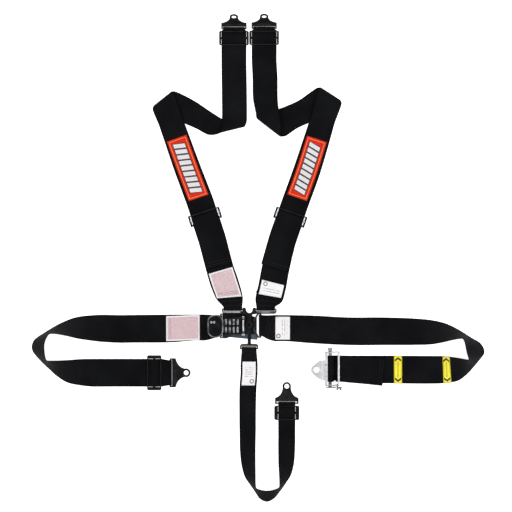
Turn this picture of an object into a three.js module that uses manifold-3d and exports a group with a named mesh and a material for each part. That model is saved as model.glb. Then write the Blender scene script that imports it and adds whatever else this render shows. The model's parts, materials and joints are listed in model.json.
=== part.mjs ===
// Five-point racing harness, laid out flat. Millimetres, +Z up, the belts lie on the plane z = 0.
// The origin is on the underside of the latch base; +X is the wearer's left, +Y runs up the shoulder belts.
import * as THREE from 'three';
import { mergeVertices } from 'three/addons/utils/BufferGeometryUtils.js';
import Module from 'manifold-3d';

const wasm = await Module();
wasm.setup();

// ---------------------------------------------------------------- driving dimensions
const WEB = 2.0;                 // webbing thickness
const GAP = 0.45;                // clearance between pieces that touch
const PLY = WEB + GAP;           // pitch of stacked webbing layers
const LOW = 1.15;                // centre height of a layer lying on the table
const LAP_W = 78;                // lap and lower shoulder webbing, 3 in nominal
const SHOULDER_W = 70;           // upper shoulder webbing
const SUB_W = 48;                // crotch strap webbing, 2 in nominal
const BAR_R = 2.0;               // round bar that a webbing loop turns on
const LOOP_R = BAR_R + GAP + 0.05 + WEB / 2;
const BAR_Z = LOW + LOOP_R;      // height of such a bar when the loop lies on the table
const PLATE = 3.2;               // anchor tab plate
const SLIDE_HALF = 20;           // half length of a three-bar slide along the strap
const SLIDE_Z = [5.0, 7.7];      // underside and top of a slide
const CREST = 12.0;              // height of the strap over a slide's centre bar
const ADJ = { half: 16, width: 92, barR: 3, barAt: 0.5, barZ: 6.8, loopAt: -13 };
const POST = { x: 26, y: 6, r: 4.5, eyeR: 9 };
const PIVOT = { x: 9, z: 13, r: 3 };
const LINK = { z: 7.9, r: 2.5, noseX: 39, barX: 57.5 };
const SPOOL = { x: 252, y: -116.5, z: 15.6, rollR: 12 };

const GLOSS_BLACK = { color: 0x111214, roughness: 0.25, metalness: 0.6 };
const WEBBING = { color: 0x131417, roughness: 0.85, metalness: 0 };
const CHROME = { color: 0xd8dade, roughness: 0.12, metalness: 1 };
const LABEL = { color: 0xf3eeee, roughness: 0.8, metalness: 0 };
const RED = { color: 0xdf2a12, roughness: 0.8, metalness: 0 };
const YELLOW = { color: 0xf6e21c, roughness: 0.7, metalness: 0 };

const harness = new THREE.Group();
const V = (x, y, z = 0) => new THREE.Vector3(x, y, z);
const UP = V(0, 0, 1);
const rad = THREE.MathUtils.degToRad;

function add(name, geometry, look, parent = harness) {
  const mesh = new THREE.Mesh(geometry, new THREE.MeshStandardMaterial(look));
  mesh.name = name;
  parent.add(mesh);
  return mesh;
}

// ---------------------------------------------------------------- solids
function solid(geometry) {
  const bare = geometry.clone();
  bare.deleteAttribute('normal');
  bare.deleteAttribute('uv');
  const merged = mergeVertices(bare, 1e-4);
  return new wasm.Manifold(new wasm.Mesh({
    numProp: 3,
    vertProperties: new Float32Array(merged.attributes.position.array),
    triVerts: new Uint32Array(merged.index.array),
  }));
}

function geometryOf(manifold) {
  const mesh = manifold.getMesh();
  const geometry = new THREE.BufferGeometry();
  geometry.setAttribute('position', new THREE.BufferAttribute(new Float32Array(mesh.vertProperties), 3));
  geometry.setIndex(new THREE.BufferAttribute(new Uint32Array(mesh.triVerts), 1));
  geometry.computeVertexNormals();
  return geometry;
}

const join = (...parts) => geometryOf(parts.map(solid).reduce((a, b) => a.add(b)));
const cut = (body, ...tools) => geometryOf(tools.map(solid).reduce((a, b) => a.subtract(b), solid(body)));

function box(x0, x1, y0, y1, z0, z1) {
  const g = new THREE.BoxGeometry(x1 - x0, y1 - y0, z1 - z0);
  return g.translate((x0 + x1) / 2, (y0 + y1) / 2, (z0 + z1) / 2);
}

function rodX(r, x0, x1, y, z, sides = 16) {
  return new THREE.CylinderGeometry(r, r, x1 - x0, sides).rotateZ(Math.PI / 2).translate((x0 + x1) / 2, y, z);
}

function rodY(r, y0, y1, x, z, sides = 16) {
  return new THREE.CylinderGeometry(r, r, y1 - y0, sides).translate(x, (y0 + y1) / 2, z);
}

function rodZ(r, z0, z1, x, y, sides = 24) {
  return new THREE.CylinderGeometry(r, r, z1 - z0, sides).rotateX(Math.PI / 2).translate(x, y, (z0 + z1) / 2);
}

function rodBetween(a, b, r, sides = 12) {
  const span = b.clone().sub(a);
  const g = new THREE.CylinderGeometry(r, r, span.length(), sides);
  const turn = new THREE.Quaternion().setFromUnitVectors(V(0, 1, 0), span.clone().normalize());
  return g.applyQuaternion(turn).translate(...a.clone().add(b).multiplyScalar(0.5));
}

function extrude(shape, z0, z1, curveSegments = 8) {
  const g = new THREE.ExtrudeGeometry(shape, { depth: z1 - z0, bevelEnabled: false, curveSegments });
  return g.translate(0, 0, z0);
}

function outline(points) {
  const s = new THREE.Shape();
  points.forEach(([x, y], i) => (i ? s.lineTo(x, y) : s.moveTo(x, y)));
  s.closePath();
  return s;
}

function roundedRect(x0, x1, y0, y1, r) {
  const s = new THREE.Shape();
  s.moveTo(x0 + r, y0);
  s.lineTo(x1 - r, y0);
  s.absarc(x1 - r, y0 + r, r, -Math.PI / 2, 0);
  s.lineTo(x1, y1 - r);
  s.absarc(x1 - r, y1 - r, r, 0, Math.PI / 2);
  s.lineTo(x0 + r, y1);
  s.absarc(x0 + r, y1 - r, r, Math.PI / 2, Math.PI);
  s.lineTo(x0, y0 + r);
  s.absarc(x0 + r, y0 + r, r, Math.PI, 1.5 * Math.PI);
  return s;
}

// ---------------------------------------------------------------- webbing
// A strap is a row of stations: the points of its left and right edges, in order along the strap.
const station = (l, r) => ({ l, r });
const edges = (l, r) => station(V(...l), V(...r));

function flat(x, y, heading, z, width) {
  const side = V(-Math.sin(rad(heading)), Math.cos(rad(heading))).multiplyScalar(width / 2);
  return station(V(x, y, z).add(side), V(x, y, z).sub(side));
}

// A loop that stands on its outer edge: the plan places of the raised and of the lying edge.
function standing(width, rows) {
  return rows.map(([ux, uy, lx, ly]) => {
    const plan = Math.min(Math.hypot(ux - lx, uy - ly), width);
    const raised = V(ux, uy, LOW + Math.sqrt(width * width - plan * plan));
    const lying = V(lx, ly, LOW);
    return station(lying, raised);
  });
}

// Places where a strap passes bars: rows of [distance along, height, width] in a frame that points along.
function threaded(x, y, heading, rows, turned = 1) {
  const along = V(Math.cos(rad(heading)), Math.sin(rad(heading)));
  const left = V(-along.y, along.x).multiplyScalar(turned);
  return rows.map(([a, z, w]) => {
    const c = V(x, y, z).addScaledVector(along, a);
    return station(c.clone().addScaledVector(left, w / 2), c.clone().addScaledVector(left, -w / 2));
  });
}

// A fold round a straight crease: half a turn of radius r, from height low + 2r down to low, or back up.
// The edges draw in a little at the crease.
const CREASE_INSET = 5;
function folded(left, right, r, low, drift, goesUnder) {
  const l = V(...left);
  const ruling = V(...right).sub(l).normalize();
  const out = V(-ruling.y, ruling.x).multiplyScalar(goesUnder ? 1 : -1);
  const rows = [];
  for (let i = 0; i <= 6; i += 1) {
    const turn = rad(goesUnder ? 90 - 30 * i : -90 + 30 * i);
    const slip = drift * (i / 6 - 0.5);
    const shift = out.clone().multiplyScalar(r * Math.cos(turn) - r - WEB / 2).addScaledVector(ruling, slip);
    shift.z = low + r + r * Math.sin(turn);
    const inset = ruling.clone().multiplyScalar(CREASE_INSET * Math.cos(turn));
    rows.push(station(V(...left).add(shift).add(inset), V(...right).add(shift).sub(inset)));
  }
  return rows;
}

// Rows that drift towards -y: by slope, from x = start on either side of the latch and over a reach.
function leaning(rows, start, slope, reach) {
  const drift = (x) => slope * Math.min(Math.max(Math.abs(x) - start, 0), reach);
  rows.flatMap(({ l, r }) => [l, r]).forEach((p) => p.setY(p.y - drift(p.x)));
  return rows;
}

function arc(a, z, r, from, to, width, steps = 4) {
  return Array.from({ length: steps + 1 }, (_, i) => {
    const t = rad(from + (to - from) * i / steps);
    return [a + r * Math.cos(t), z + r * Math.sin(t), width];
  });
}

// Smooths a row of stations; steps are finer where the strap turns.
function strap(stations, fine = 2) {
  const bend = (i) => {
    const mid = (s) => s.l.clone().add(s.r).multiplyScalar(0.5);
    const before = mid(stations[i]).sub(mid(stations[Math.max(i - 1, 0)]));
    const after = mid(stations[Math.min(i + 1, stations.length - 1)]).sub(mid(stations[i]));
    const here = stations[i].l.clone().sub(stations[i].r).normalize();
    const next = stations[Math.min(i + 1, stations.length - 1)];
    const twist = here.angleTo(next.l.clone().sub(next.r).normalize());
    return (before.lengthSq() && after.lengthSq() ? before.angleTo(after) : 0) + twist;
  };
  const left = new THREE.CatmullRomCurve3(stations.map((s) => s.l), false, 'centripetal');
  const right = new THREE.CatmullRomCurve3(stations.map((s) => s.r), false, 'centripetal');
  const last = stations.length - 1;
  const out = [];
  for (let i = 0; i < last; i += 1) {
    const steps = Math.max(bend(i), bend(i + 1)) > 0.2 ? fine : 1;
    for (let k = 0; k < steps; k += 1) {
      const t = (i + k / steps) / last;
      out.push(station(left.getPoint(t), right.getPoint(t)));
    }
  }
  out.push(stations[last]);
  out.flatMap(({ l, r }) => [l, r]).forEach((p) => p.setZ(Math.max(p.z, LOW)));
  return out;
}

function faces(stations) {
  return stations.map((s, i) => {
    const a = stations[Math.max(i - 1, 0)];
    const b = stations[Math.min(i + 1, stations.length - 1)];
    const heading = b.l.clone().add(b.r).sub(a.l).sub(a.r);
    const across = s.l.clone().sub(s.r);
    return heading.cross(across).normalize();
  });
}

function ribbon(stations, thickness = WEB) {
  const normals = faces(stations);
  const points = [];
  stations.forEach(({ l, r }, i) => {
    const half = normals[i].clone().multiplyScalar(thickness / 2);
    const ring = [l.clone().add(half), r.clone().add(half), r.clone().sub(half), l.clone().sub(half)];
    ring.forEach((p) => points.push(...p));
  });
  const index = [0, 3, 2, 0, 2, 1];
  for (let i = 0; i < stations.length - 1; i += 1) {
    for (let k = 0; k < 4; k += 1) {
      const [a, b] = [4 * i + k, 4 * i + (k + 1) % 4];
      index.push(...(k === 2 ? [a, b, a + 4, b, b + 4, a + 4] : [a, b, b + 4, a, b + 4, a + 4]));
    }
  }
  const e = 4 * (stations.length - 1);
  index.push(e, e + 1, e + 2, e, e + 2, e + 3);
  const geometry = new THREE.BufferGeometry();
  geometry.setAttribute('position', new THREE.Float32BufferAttribute(points, 3));
  geometry.setIndex(index);
  geometry.computeVertexNormals();
  return geometry;
}

// Distance along the middle of a strap at each of its stations.
function runOf(stations) {
  const mids = stations.map((s) => s.l.clone().add(s.r).multiplyScalar(0.5));
  const run = [0];
  mids.slice(1).forEach((m, i) => run.push(run[i] + m.distanceTo(mids[i])));
  return run;
}

// Adds a station to a strap at distance d along it and returns it.
function splitAt(stations, d) {
  const run = runOf(stations);
  const i = run.findIndex((v) => v > d) - 1;
  const t = (d - run[i]) / (run[i + 1] - run[i]);
  const mix = (p, q) => p.clone().lerp(q, t);
  const [a, b] = [stations[i], stations[i + 1]];
  const added = station(mix(a.l, b.l), mix(a.r, b.r));
  stations.splice(i + 1, 0, added);
  return added;
}

// Prepares the place of a label on a strap: both its ends become stations, centred nearest to (x, y).
function labelEnds(stations, x, y, length) {
  const run = runOf(stations);
  let [nearest, centre] = [Infinity, 0];
  stations.slice(1).forEach(({ l, r }, i) => {
    const prev = stations[i];
    for (let t = 0; t < 1; t += 0.05) {
      const mid = prev.l.clone().add(prev.r).lerp(l.clone().add(r), t).multiplyScalar(0.5);
      const gap = Math.hypot(mid.x - x, mid.y - y) - Math.min(mid.z, 4) / 2;
      if (gap < nearest) [nearest, centre] = [gap, run[i] + t * (run[i + 1] - run[i])];
    }
  });
  return [-0.5, 0.5].map((k) => splitAt(stations, centre + k * length));
}

// A label, patch or tag on the upward face of a strap, between two of its stations.
function onStrap(stations, [first, last], width, thickness) {
  const normals = faces(stations);
  const [a, b] = [stations.indexOf(first), stations.indexOf(last)];
  const lift = Math.sign(normals[a].z) * (WEB / 2 + 0.35 + thickness / 2);
  const rows = stations.slice(a, b + 1).map(({ l, r }, i) => {
    const across = l.clone().sub(r).normalize().multiplyScalar(width / 2);
    const c = l.clone().add(r).multiplyScalar(0.5).addScaledVector(normals[a + i], lift);
    return station(c.clone().add(across), c.clone().sub(across));
  });
  return ribbon(rows, thickness);
}

// The strap end at an anchor: over the slide's centre bar, round the tab's bar and back underneath.
function anchorEnd(reach, width, loopWidth) {
  const climb = reach < 35 ? [[reach - 5, 4.9], [reach - 2.5, 7.15]]
    : [[reach - 15, 4.3], [reach - 7, 6.1], [reach - 2.5, 7.2]];
  const over = [[-40, LOW + PLY], [-21, LOW + PLY], [-16, 3.75], [-11.5, 6.4], [-6, 10.8], [0, CREST],
    [6, 10.8], [11.5, 6.4], [16, 3.75], [20, LOW + PLY]].map(([a, z]) => [a, z, width]);
  const under = over.map(([a, z, w], i) => {
    const p = over[Math.max(i - 1, 0)];
    const q = over[Math.min(i + 1, over.length - 1)];
    const slope = Math.hypot(q[0] - p[0], q[1] - p[1]);
    return [a + PLY * (q[1] - p[1]) / slope, z - PLY * (q[0] - p[0]) / slope, w];
  });
  return [[-64, LOW, width], [-52, 2.2, width], ...over,
    ...climb.map(([a, z], i) => [a, z, i ? loopWidth : (width + loopWidth) / 2]),
    ...arc(reach, BAR_Z, LOOP_R, 90, -90, loopWidth), [reach - 4, LOW, loopWidth],
    ...under.reverse()];
}

// The sewn end round a bar at height z, met coming in underneath: the strap leaves on top.
function sewnEnd(z, r, back, width, loopWidth, settle) {
  const low = Math.max(LOW, z - r);
  return [[-back, LOW, width], [-back * 0.5, (LOW + low) / 2, (width + loopWidth) / 2], [-6, low, loopWidth],
    ...arc(0, z, r, -90, 90, loopWidth),
    [-6, z + r - 0.1, loopWidth],
    [-back * 0.5, (z + r) * 0.5 + LOW * 0.5 + PLY * 0.62, (width + loopWidth) / 2],
    [-back, LOW + PLY, width], [-back - 12, 2.6, width], [-back - settle, LOW, width]];
}

// ---------------------------------------------------------------- hardware
function slide(name, x, y, heading, width, slot) {
  const plate = roundedRect(-SLIDE_HALF, SLIDE_HALF, -width / 2, width / 2, 4);
  const slots = [[-17, -3], [3, 17]].map(([a, b]) => box(a, b, -slot / 2, slot / 2, 0, 12));
  const mesh = add(name, cut(extrude(plate, ...SLIDE_Z, 3), ...slots), GLOSS_BLACK);
  mesh.position.set(x, y, 0);
  mesh.rotation.z = rad(heading);
}

// Anchor tab: a bar for the webbing, two arms, and a plate that narrows to the bolt eye.
function tab(name, x, y, heading, half, slot, eyeAt, eyeR, bend = 0) {
  const holeR = 6.75;
  const neck = eyeAt - eyeR * 0.35;
  const outline = new THREE.Shape();
  outline.moveTo(0, -half);
  outline.lineTo(15, -half);
  outline.quadraticCurveTo(20, -half * 0.42, neck, -eyeR * 0.94);
  outline.absarc(eyeAt, 0, eyeR, rad(-110), rad(110));
  outline.quadraticCurveTo(20, half * 0.42, 15, half);
  outline.lineTo(0, half);
  outline.lineTo(0, slot);
  outline.lineTo(5, slot);
  outline.lineTo(5, -slot);
  outline.lineTo(0, -slot);
  const hole = new THREE.Path();
  hole.absarc(eyeAt, 0, holeR, 0, 2 * Math.PI);
  outline.holes.push(hole);
  const plate = extrude(outline, -PLATE / 2, PLATE / 2, 10);
  const bar = rodY(BAR_R, -half, half, 0, 0);
  let body = solid(plate);
  if (bend) {
    const line = 14;
    const keep = solid(box(-20, line, -60, 60, -10, 10));
    const rest = solid(box(line - 0.9, 120, -60, 60, -10, 10));
    const raised = geometryOf(body.intersect(rest));
    raised.translate(-line, 0, 0).rotateY(-rad(bend)).translate(line, 0, 0);
    body = body.intersect(keep).add(solid(raised));
  }
  const mesh = add(name, geometryOf(body.add(solid(bar))), GLOSS_BLACK);
  mesh.position.set(x, y, BAR_Z);
  mesh.rotation.z = rad(heading);
}

function adjuster(side, x, y, heading) {
  const { half, width, barR, barAt, barZ, loopAt } = ADJ;
  const outer = width / 2;
  const low = BAR_Z - PLATE / 2;
  const group = new THREE.Group();
  group.position.set(x, y, 0);
  group.rotation.z = rad(heading);
  harness.add(group);
  const rails = [-1, 1].map((s) => {
    const rail = box(-half, half, s > 0 ? 40.5 : -outer, s > 0 ? outer : -40.5, low, low + PLATE);
    const ear = box(-6.5, 6.5, s > 0 ? 42.5 : -outer, s > 0 ? outer : -42.5, low, barZ + 4.6);
    const window = box(barAt - 5.9, barAt + barR + 0.4, s > 0 ? 40 : -outer - 1, s > 0 ? outer + 1 : -40,
      barZ - barR - 0.4, barZ + barR + 0.4);
    return cut(join(rail, ear), window);
  });
  const top = box(12.5, half, -outer, outer, low, low + PLATE);
  const loopBar = rodY(BAR_R, -outer, outer, loopAt, BAR_Z);
  add(`${side}_adjuster_frame`, join(...rails, top, loopBar), GLOSS_BLACK, group);
  const bar = [rodY(barR, -outer - 1, outer + 1, barAt, barZ, 12)];
  [-40, 34].forEach((at) => bar.push(rodY(barR + 0.25, at, at + 6, barAt, barZ, 12)));
  add(`${side}_adjuster_bar`, join(...bar), CHROME, group);
}

// ---------------------------------------------------------------- left lap belt
const LEFT_BAR = { x: -54, y: 3 };
const LAP_LOWER_Y = -128;
const leftLap = strap([
  ...leaning(threaded(LEFT_BAR.x, LEFT_BAR.y, 0, sewnEnd(BAR_Z, LOOP_R, 44, 73, 60, 30)), 58, 0.12, 36),
  flat(-190, -4, 0, LOW, LAP_W),
  flat(-300, -5, 0, LOW, LAP_W),
  ...standing(LAP_W, [
    [-336, -44.4, -336, 33.6], [-392, -40.6, -398, 34], [-448, -31.8, -459, 27], [-487, -22.4, -504, 9.6],
    [-518, -17, -532, -6.6], [-530.5, -18, -552, -19.2], [-538.2, -28, -566, -28], [-543, -40, -577.6, -38.8],
    [-545.2, -55, -582.6, -54], [-544.3, -68, -580, -67.6], [-542.4, -80, -571.4, -80], [-540.2, -88, -560, -92.4],
    [-536.6, -92.4, -547, -105.4], [-526, -93, -533, -118], [-508, -93, -514, -135.6], [-476, -91.4, -484, -155],
    [-440, -89.2, -440, -164.4], [-415, -89, -415, -166.9]]),
  flat(-360, LAP_LOWER_Y, 180, LOW, LAP_W),
  ...threaded(-240, LAP_LOWER_Y, 0, anchorEnd(45, LAP_W, 71), -1),
]);
slide('left_lap_slide', -240, LAP_LOWER_Y, 0, 98, 79.4);
tab('left_lap_tab', -195, LAP_LOWER_Y, 0, 40.7, 36.2, 44.4, 12.3);

// ---------------------------------------------------------------- right lap belt
const linkLoop = LINK.r + GAP + 0.05 + WEB / 2;
const rightLap = strap([
  ...leaning(threaded(LINK.barX, 5, 180, sewnEnd(LINK.z, linkLoop, 40, 73.5, 59.6, 30), -1), 58, 0.29, 28),
  flat(200, -6.5, 0, LOW, LAP_W),
  flat(308, -11.9, 0, LOW, LAP_W),
  ...standing(LAP_W, [
    [392, -50.8, 392, 27.2], [481.6, -49.8, 481.6, 24.4], [532, -47.9, 537.6, 19], [565, -41.7, 574, 10.6],
    [592, -34.5, 604, -3.4], [610, -31.3, 623, -14.3], [619.4, -31.2, 638, -23.8], [624.4, -38.6, 653, -33.2],
    [628, -50, 671, -43.6], [630.6, -62, 682.2, -59.6], [633, -73, 683.7, -73.2], [635.6, -82.4, 674.4, -87],
    [636.2, -89.4, 657.6, -107], [626, -88.4, 638.6, -128.6], [604, -84.8, 613, -149.4], [570, -81.2, 574, -157],
    [537.6, -80.9, 537.6, -158.8]]),
  flat(430, -119, 180, LOW, LAP_W),
  flat(320, -118, 180, LOW, 76),
  flat(290, -116.8, 180, LOW, 74),
  flat(262, -116.6, 180, 1.7, 74),
  flat(247, -116.5, 180, 2.15, 74),
]);
const ratchetTail = strap([
  flat(265.5, SPOOL.y, 0, 6.6, 74),
  flat(272, SPOOL.y, 0, 4.7, 74),
  flat(282, SPOOL.y, 0, 3.9, 74),
  flat(300, -117.8, 0, LOW + PLY, 75),
  flat(350, -121.4, -3, LOW + PLY, 76.5),
  flat(402, -126, -5, LOW + PLY, LAP_W),
]);

// ---------------------------------------------------------------- crotch strap
const SUB_RING = { x: 25.5, y: -60, z: 6.9 };
const sub = strap([
  ...threaded(SUB_RING.x, SUB_RING.y, 90, sewnEnd(SUB_RING.z, LOOP_R, 44, SUB_W, 42, 26)),
  flat(22.5, -170, 90, LOW, SUB_W),
  ...standing(SUB_W, [
    [44.5, -240.8, -1.8, -240.8], [44, -300, -1, -300], [43, -344.4, -0.1, -344.4], [43.1, -386.4, 4.4, -386.4],
    [43.3, -420, 14.2, -420], [43.6, -438, 26.4, -438.4], [45.4, -448.8, 36.8, -453], [53, -452.8, 46, -466.6],
    [62, -455.4, 55.5, -480], [74.6, -456.9, 75, -488.7], [89, -454.9, 95.2, -479.8], [101, -451.2, 107, -466],
    [109.6, -446.8, 117.6, -451.8], [111, -436, 129.8, -434.2], [109.8, -416, 142.4, -414.2],
    [107.6, -380, 151.2, -381], [106.8, -330, 154.6, -330]]),
  ...threaded(130.9, -240.2, 90, anchorEnd(27, SUB_W, SUB_W), -1),
]);
slide('sub_slide', 130.9, -240.2, 90, 70, 49.4);
tab('sub_tab', 130.9, -213.2, 90, 33, 28.5, 47.4, 12);

// ---------------------------------------------------------------- shoulder belts
const ADJUSTERS = { left: [-98, 308, 107.8], right: [140.6, 307.2, 70.9] };
// upper webbing: over the lower loop, over the adjuster's bar, under its top bar, along the patch run
const adjusterPass = [[-66, 3.7, LAP_W], [-59, 4.1, LAP_W], [-50, 5.6, LAP_W], [-40, 7.2, 77], [-22, 9.9, 77],
  [-13, 10.75, 76], [-5, 11.3, 76], [ADJ.barAt, 11.35, 76], [5, 8.9, 76], [7.8, 5.3, 76], [10.6, 2.3, 76],
  [14, LOW, 76], [22, LOW, 76], [40, LOW, 76]];
const leftShoulder = strap([
  flat(-58, 170, 104, LOW + PLY, 77),
  ...threaded(...ADJUSTERS.left, adjusterPass),
  flat(-150, 452, 109.8, LOW, 74),
  flat(-181.2, 540, 109.8, LOW, 71),
  flat(-194.5, 577, 109.8, 5.5, 70),
  ...folded([-246.4, 616], [-187.6, 662.8], 4.5, LOW, 4.9, true),
  edges([-161.6, 572.6, LOW], [-127, 633, LOW]),
  edges([-120, 554, LOW], [-84, 604, 7]),
  edges([-88, 538, 1.6], [-47, 581, 16]),
  edges([-66, 539, 7], [-14, 570, 20]),
  edges([-57, 544.5, 17], [11, 560, 25]),
  edges([-52, 556, 28.5], [19, 574, 32]),
  edges([-50.4, 580, 32], [19.6, 594, 32]),
  flat(-15.6, 640, 90, 26, SHOULDER_W),
  flat(-16.5, 700, 90, 10, SHOULDER_W),
  ...threaded(-17, 808.5, 90, anchorEnd(27, SHOULDER_W, 61)),
]);
const rightShoulder = strap([
  flat(95.8, 165.3, 72.6, LOW + PLY, 77),
  ...threaded(...ADJUSTERS.right, adjusterPass),
  flat(188, 440, 71.6, LOW, 76),
  flat(221, 545, 72, LOW, 72),
  flat(231, 578, 72, 5.5, 70),
  ...folded([221.8, 673.7], [285.6, 632.8], 4.5, LOW, -4.9, true),
  edges([163, 634, LOW], [201, 575.7, LOW]),
  edges([125, 617, LOW], [160, 556, LOW]),
  ...folded([43.1, 586], [115.1, 530], 9, LOW, -13, false),
  edges([36.5, 640, 15], [106, 632, 15]),
  flat(70, 700, 90, 6, SHOULDER_W),
  ...threaded(67.6, 809.5, 90, anchorEnd(27, SHOULDER_W, 61)),
]);

// lower webbing: from the fitting on the latch post up to the adjuster's lower bar
const FIT = { left: { x: -20, y: 50, z: 14 }, right: { x: 72, y: 50, z: 17.6 } };
const lowerEnd = [[-64, LOW, LAP_W], [-30, LOW, LAP_W], [-18, LOW, LAP_W],
  ...arc(ADJ.loopAt, BAR_Z, LOOP_R, -90, 90, LAP_W), [-19, 7.6, LAP_W], [-30, 5.4, LAP_W],
  [-48, LOW + PLY, LAP_W]];
function fittingEnd({ x, y, z }, loopWidth, lean) {
  const back = threaded(x, y, -90, [[-52, z - 6, 66], [-26, z - 4.6, 58], [-6, z - LOOP_R, loopWidth],
    ...arc(0, z, LOOP_R, -90, 90, loopWidth), [-6, z + LOOP_R - 0.2, loopWidth]], -1);
  back[0].l.x += lean;
  back[0].r.x += lean;
  back[1].l.x += lean / 2;
  back[1].r.x += lean / 2;
  return back;
}
const leftLower = strap([
  ...fittingEnd(FIT.left, 52.5, -9),
  edges([-66, 78, 15], [8, 83, 15]),
  edges([-82, 114, 10], [-5, 134, 10]),
  flat(-56, 163, 106.5, LOW, LAP_W),
  ...threaded(...ADJUSTERS.left, lowerEnd),
]);
const rightLower = strap([
  ...fittingEnd(FIT.right, 52.5, 6),
  edges([43, 80, 17], [117, 70, 17]),
  edges([52, 122, 11], [128, 104, 11]),
  flat(99.5, 163, 74, LOW, LAP_W),
  ...threaded(...ADJUSTERS.right, lowerEnd),
]);

['left', 'right'].forEach((side) => adjuster(side, ...ADJUSTERS[side]));
slide('left_shoulder_slide', -17, 808.5, 90, 83, 71.4);
slide('right_shoulder_slide', 67.6, 809.5, 90, 83, 71.4);
tab('left_shoulder_tab', -17, 835.5, 90, 35.5, 31.2, 43.3, 12, 55);
tab('right_shoulder_tab', 67.6, 836.5, 90, 35.5, 31.2, 43.3, 12, 55);

// ---------------------------------------------------------------- labels, patches and tags
const STICKERS = [
  ['left_lap_label', leftLap, -161.4, -2.8, 94, 70, 0.6, LABEL],
  ['right_lap_label', rightLap, 120, -3, 41, 64, 0.6, LABEL],
  ['sub_label', sub, 25.5, -129.5, 67, 37, 0.6, LABEL],
  ['left_shoulder_label', leftLower, -43.2, 121, 80, 69, 0.6, LABEL],
  ['right_shoulder_label', rightLower, 86, 106, 39, 63.5, 0.6, LABEL],
  ['left_shoulder_patch', leftShoulder, -149.8, 444, 178, 58, 1.0, RED],
  ['right_shoulder_patch', rightShoulder, 191, 442.4, 174, 58, 1.0, RED],
  ['inner_warning_tag', rightLap, 444.4, -119, 22.4, 79, 0.6, YELLOW],
  ['outer_warning_tag', rightLap, 579, -119, 21.4, 79, 0.6, YELLOW],
];
const ends = STICKERS.map(([, on, x, y, length]) => labelEnds(on, x, y, length));
STICKERS.forEach(([name, on, , , , width, thickness, look], i) => {
  add(name, onStrap(on, ends[i], width, thickness), look);
});
Object.entries({ left_lap_webbing: leftLap, right_lap_webbing: rightLap, ratchet_tail_webbing: ratchetTail,
  sub_webbing: sub, left_shoulder_webbing: leftShoulder, right_shoulder_webbing: rightShoulder,
  left_lower_webbing: leftLower, right_lower_webbing: rightLower,
}).forEach(([name, stations]) => add(name, ribbon(stations), WEBBING));

// ---------------------------------------------------------------- latch
// A plate standing in the XZ plane, from y0 to y1.
function upright(shape, y0, y1) {
  return extrude(shape, 0, y1 - y0).rotateX(Math.PI / 2).translate(0, y1, 0);
}

function lug(x, foot, top, r) {
  const s = new THREE.Shape();
  s.moveTo(x - r, foot);
  s.lineTo(x + r, foot);
  s.lineTo(x + r, top);
  s.absarc(x, top, r, 0, Math.PI);
  return s;
}

const BASE_TOP = 5;
const EARS = [[20, 24], [-16, -12]];
const CHEEKS = [[24.4, 28], [-20, -16.4]];
const basePlate = extrude(outline([[-49, -32], [-38, -32], [-30, -28.4], [49, -36], [49, -30], [47, -24],
  [47, 27], [36, 30], [29, 39.5], [-40, 39.5], [-49, 38]]), 0, BASE_TOP);
const baseBody = join(basePlate,
  rodY(BAR_R, -32, 38, LEFT_BAR.x, BAR_Z),
  box(-54, -45, -32, -28.3, 3, BASE_TOP),
  box(-54, -45, 34.3, 38, 3, BASE_TOP),
  ...EARS.map(([a, b]) => upright(lug(PIVOT.x, BASE_TOP - 1, PIVOT.z, 5.5), a, b)),
  box(43, 47, -1, 13, BASE_TOP - 1, 13.5),
  box(39, 47, -1, 13, 10.9, 13.5));
const postRod = (r, z0, z1) => rodZ(r, z0, z1, POST.x, POST.y);
const pinRod = (r, y0, y1) => rodY(r, y0, y1, PIVOT.x, PIVOT.z);
const pinBore = pinRod(PIVOT.r + 0.3, -30, 40);
add('latch_base', cut(baseBody, pinBore, postRod(POST.r + 0.4, -2, 8)), GLOSS_BLACK);
add('latch_post', join(postRod(POST.r, 0.4, 19.8), postRod(8, 19.6, 22.6)), GLOSS_BLACK);
add('post_spacer', cut(postRod(8, 8.9, 12), postRod(POST.r + 0.4, 8, 13)), GLOSS_BLACK);

const leverPlate = join(box(-46, 2.4, -19.6, 26.6, 12, 17), box(-86, -45, -11, 17, 12, 17),
  ...CHEEKS.map(([a, b]) => join(upright(lug(0, 0, 0, 5.5), a, b).translate(PIVOT.x, 0, PIVOT.z),
    box(-6, PIVOT.x, a, b, 9.5, 17))));
const ribs = [-42, -31, -20, -9].flatMap((x) => [[-15.5, 1], [6, 22.5]].map(([y0, y1]) => (
  extrude(roundedRect(x, x + 5.4, y0, y1, 2.2), 16.5, 18.8, 3))));
const RIVETS = [[-80, 13.4], [-72, 13.4]];
add('latch_lever', cut(join(leverPlate, ...ribs), pinBore,
  ...RIVETS.map(([x, y]) => rodZ(2.3, 10, 20, x, y, 12))), GLOSS_BLACK);
const handlePlate = extrude(roundedRect(-90.7, -46.6, -29.4, 35, 20), 17.4, 20.4, 6);
const rimShape = roundedRect(-90.7, -46.6, -29.4, 35, 20);
rimShape.holes.push(roundedRect(-87.3, -50, -26, 31.6, 16.6));
add('latch_handle', cut(join(handlePlate, extrude(rimShape, 20, 22, 6)),
  ...RIVETS.map(([x, y]) => rodZ(2.3, 16, 22, x, y, 12))), GLOSS_BLACK);
add('handle_rivet_outer', rivet(...RIVETS[0]), CHROME);
add('handle_rivet_inner', rivet(...RIVETS[1]), CHROME);
add('lever_pin', join(pinRod(PIVOT.r, -22, 30), pinRod(3.6, 28.4, 30.2), pinRod(4.6, -23, -20.4)), CHROME);
const leaf = [[-36, 6], [-28, 6], [-22, 7.2], [-14, 10], [-9, 11.1]];
add('lever_spring', ribbon(leaf.map(([x, z]) => flat(x, 3, 0, z, 11)), 0.9), CHROME);

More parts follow.
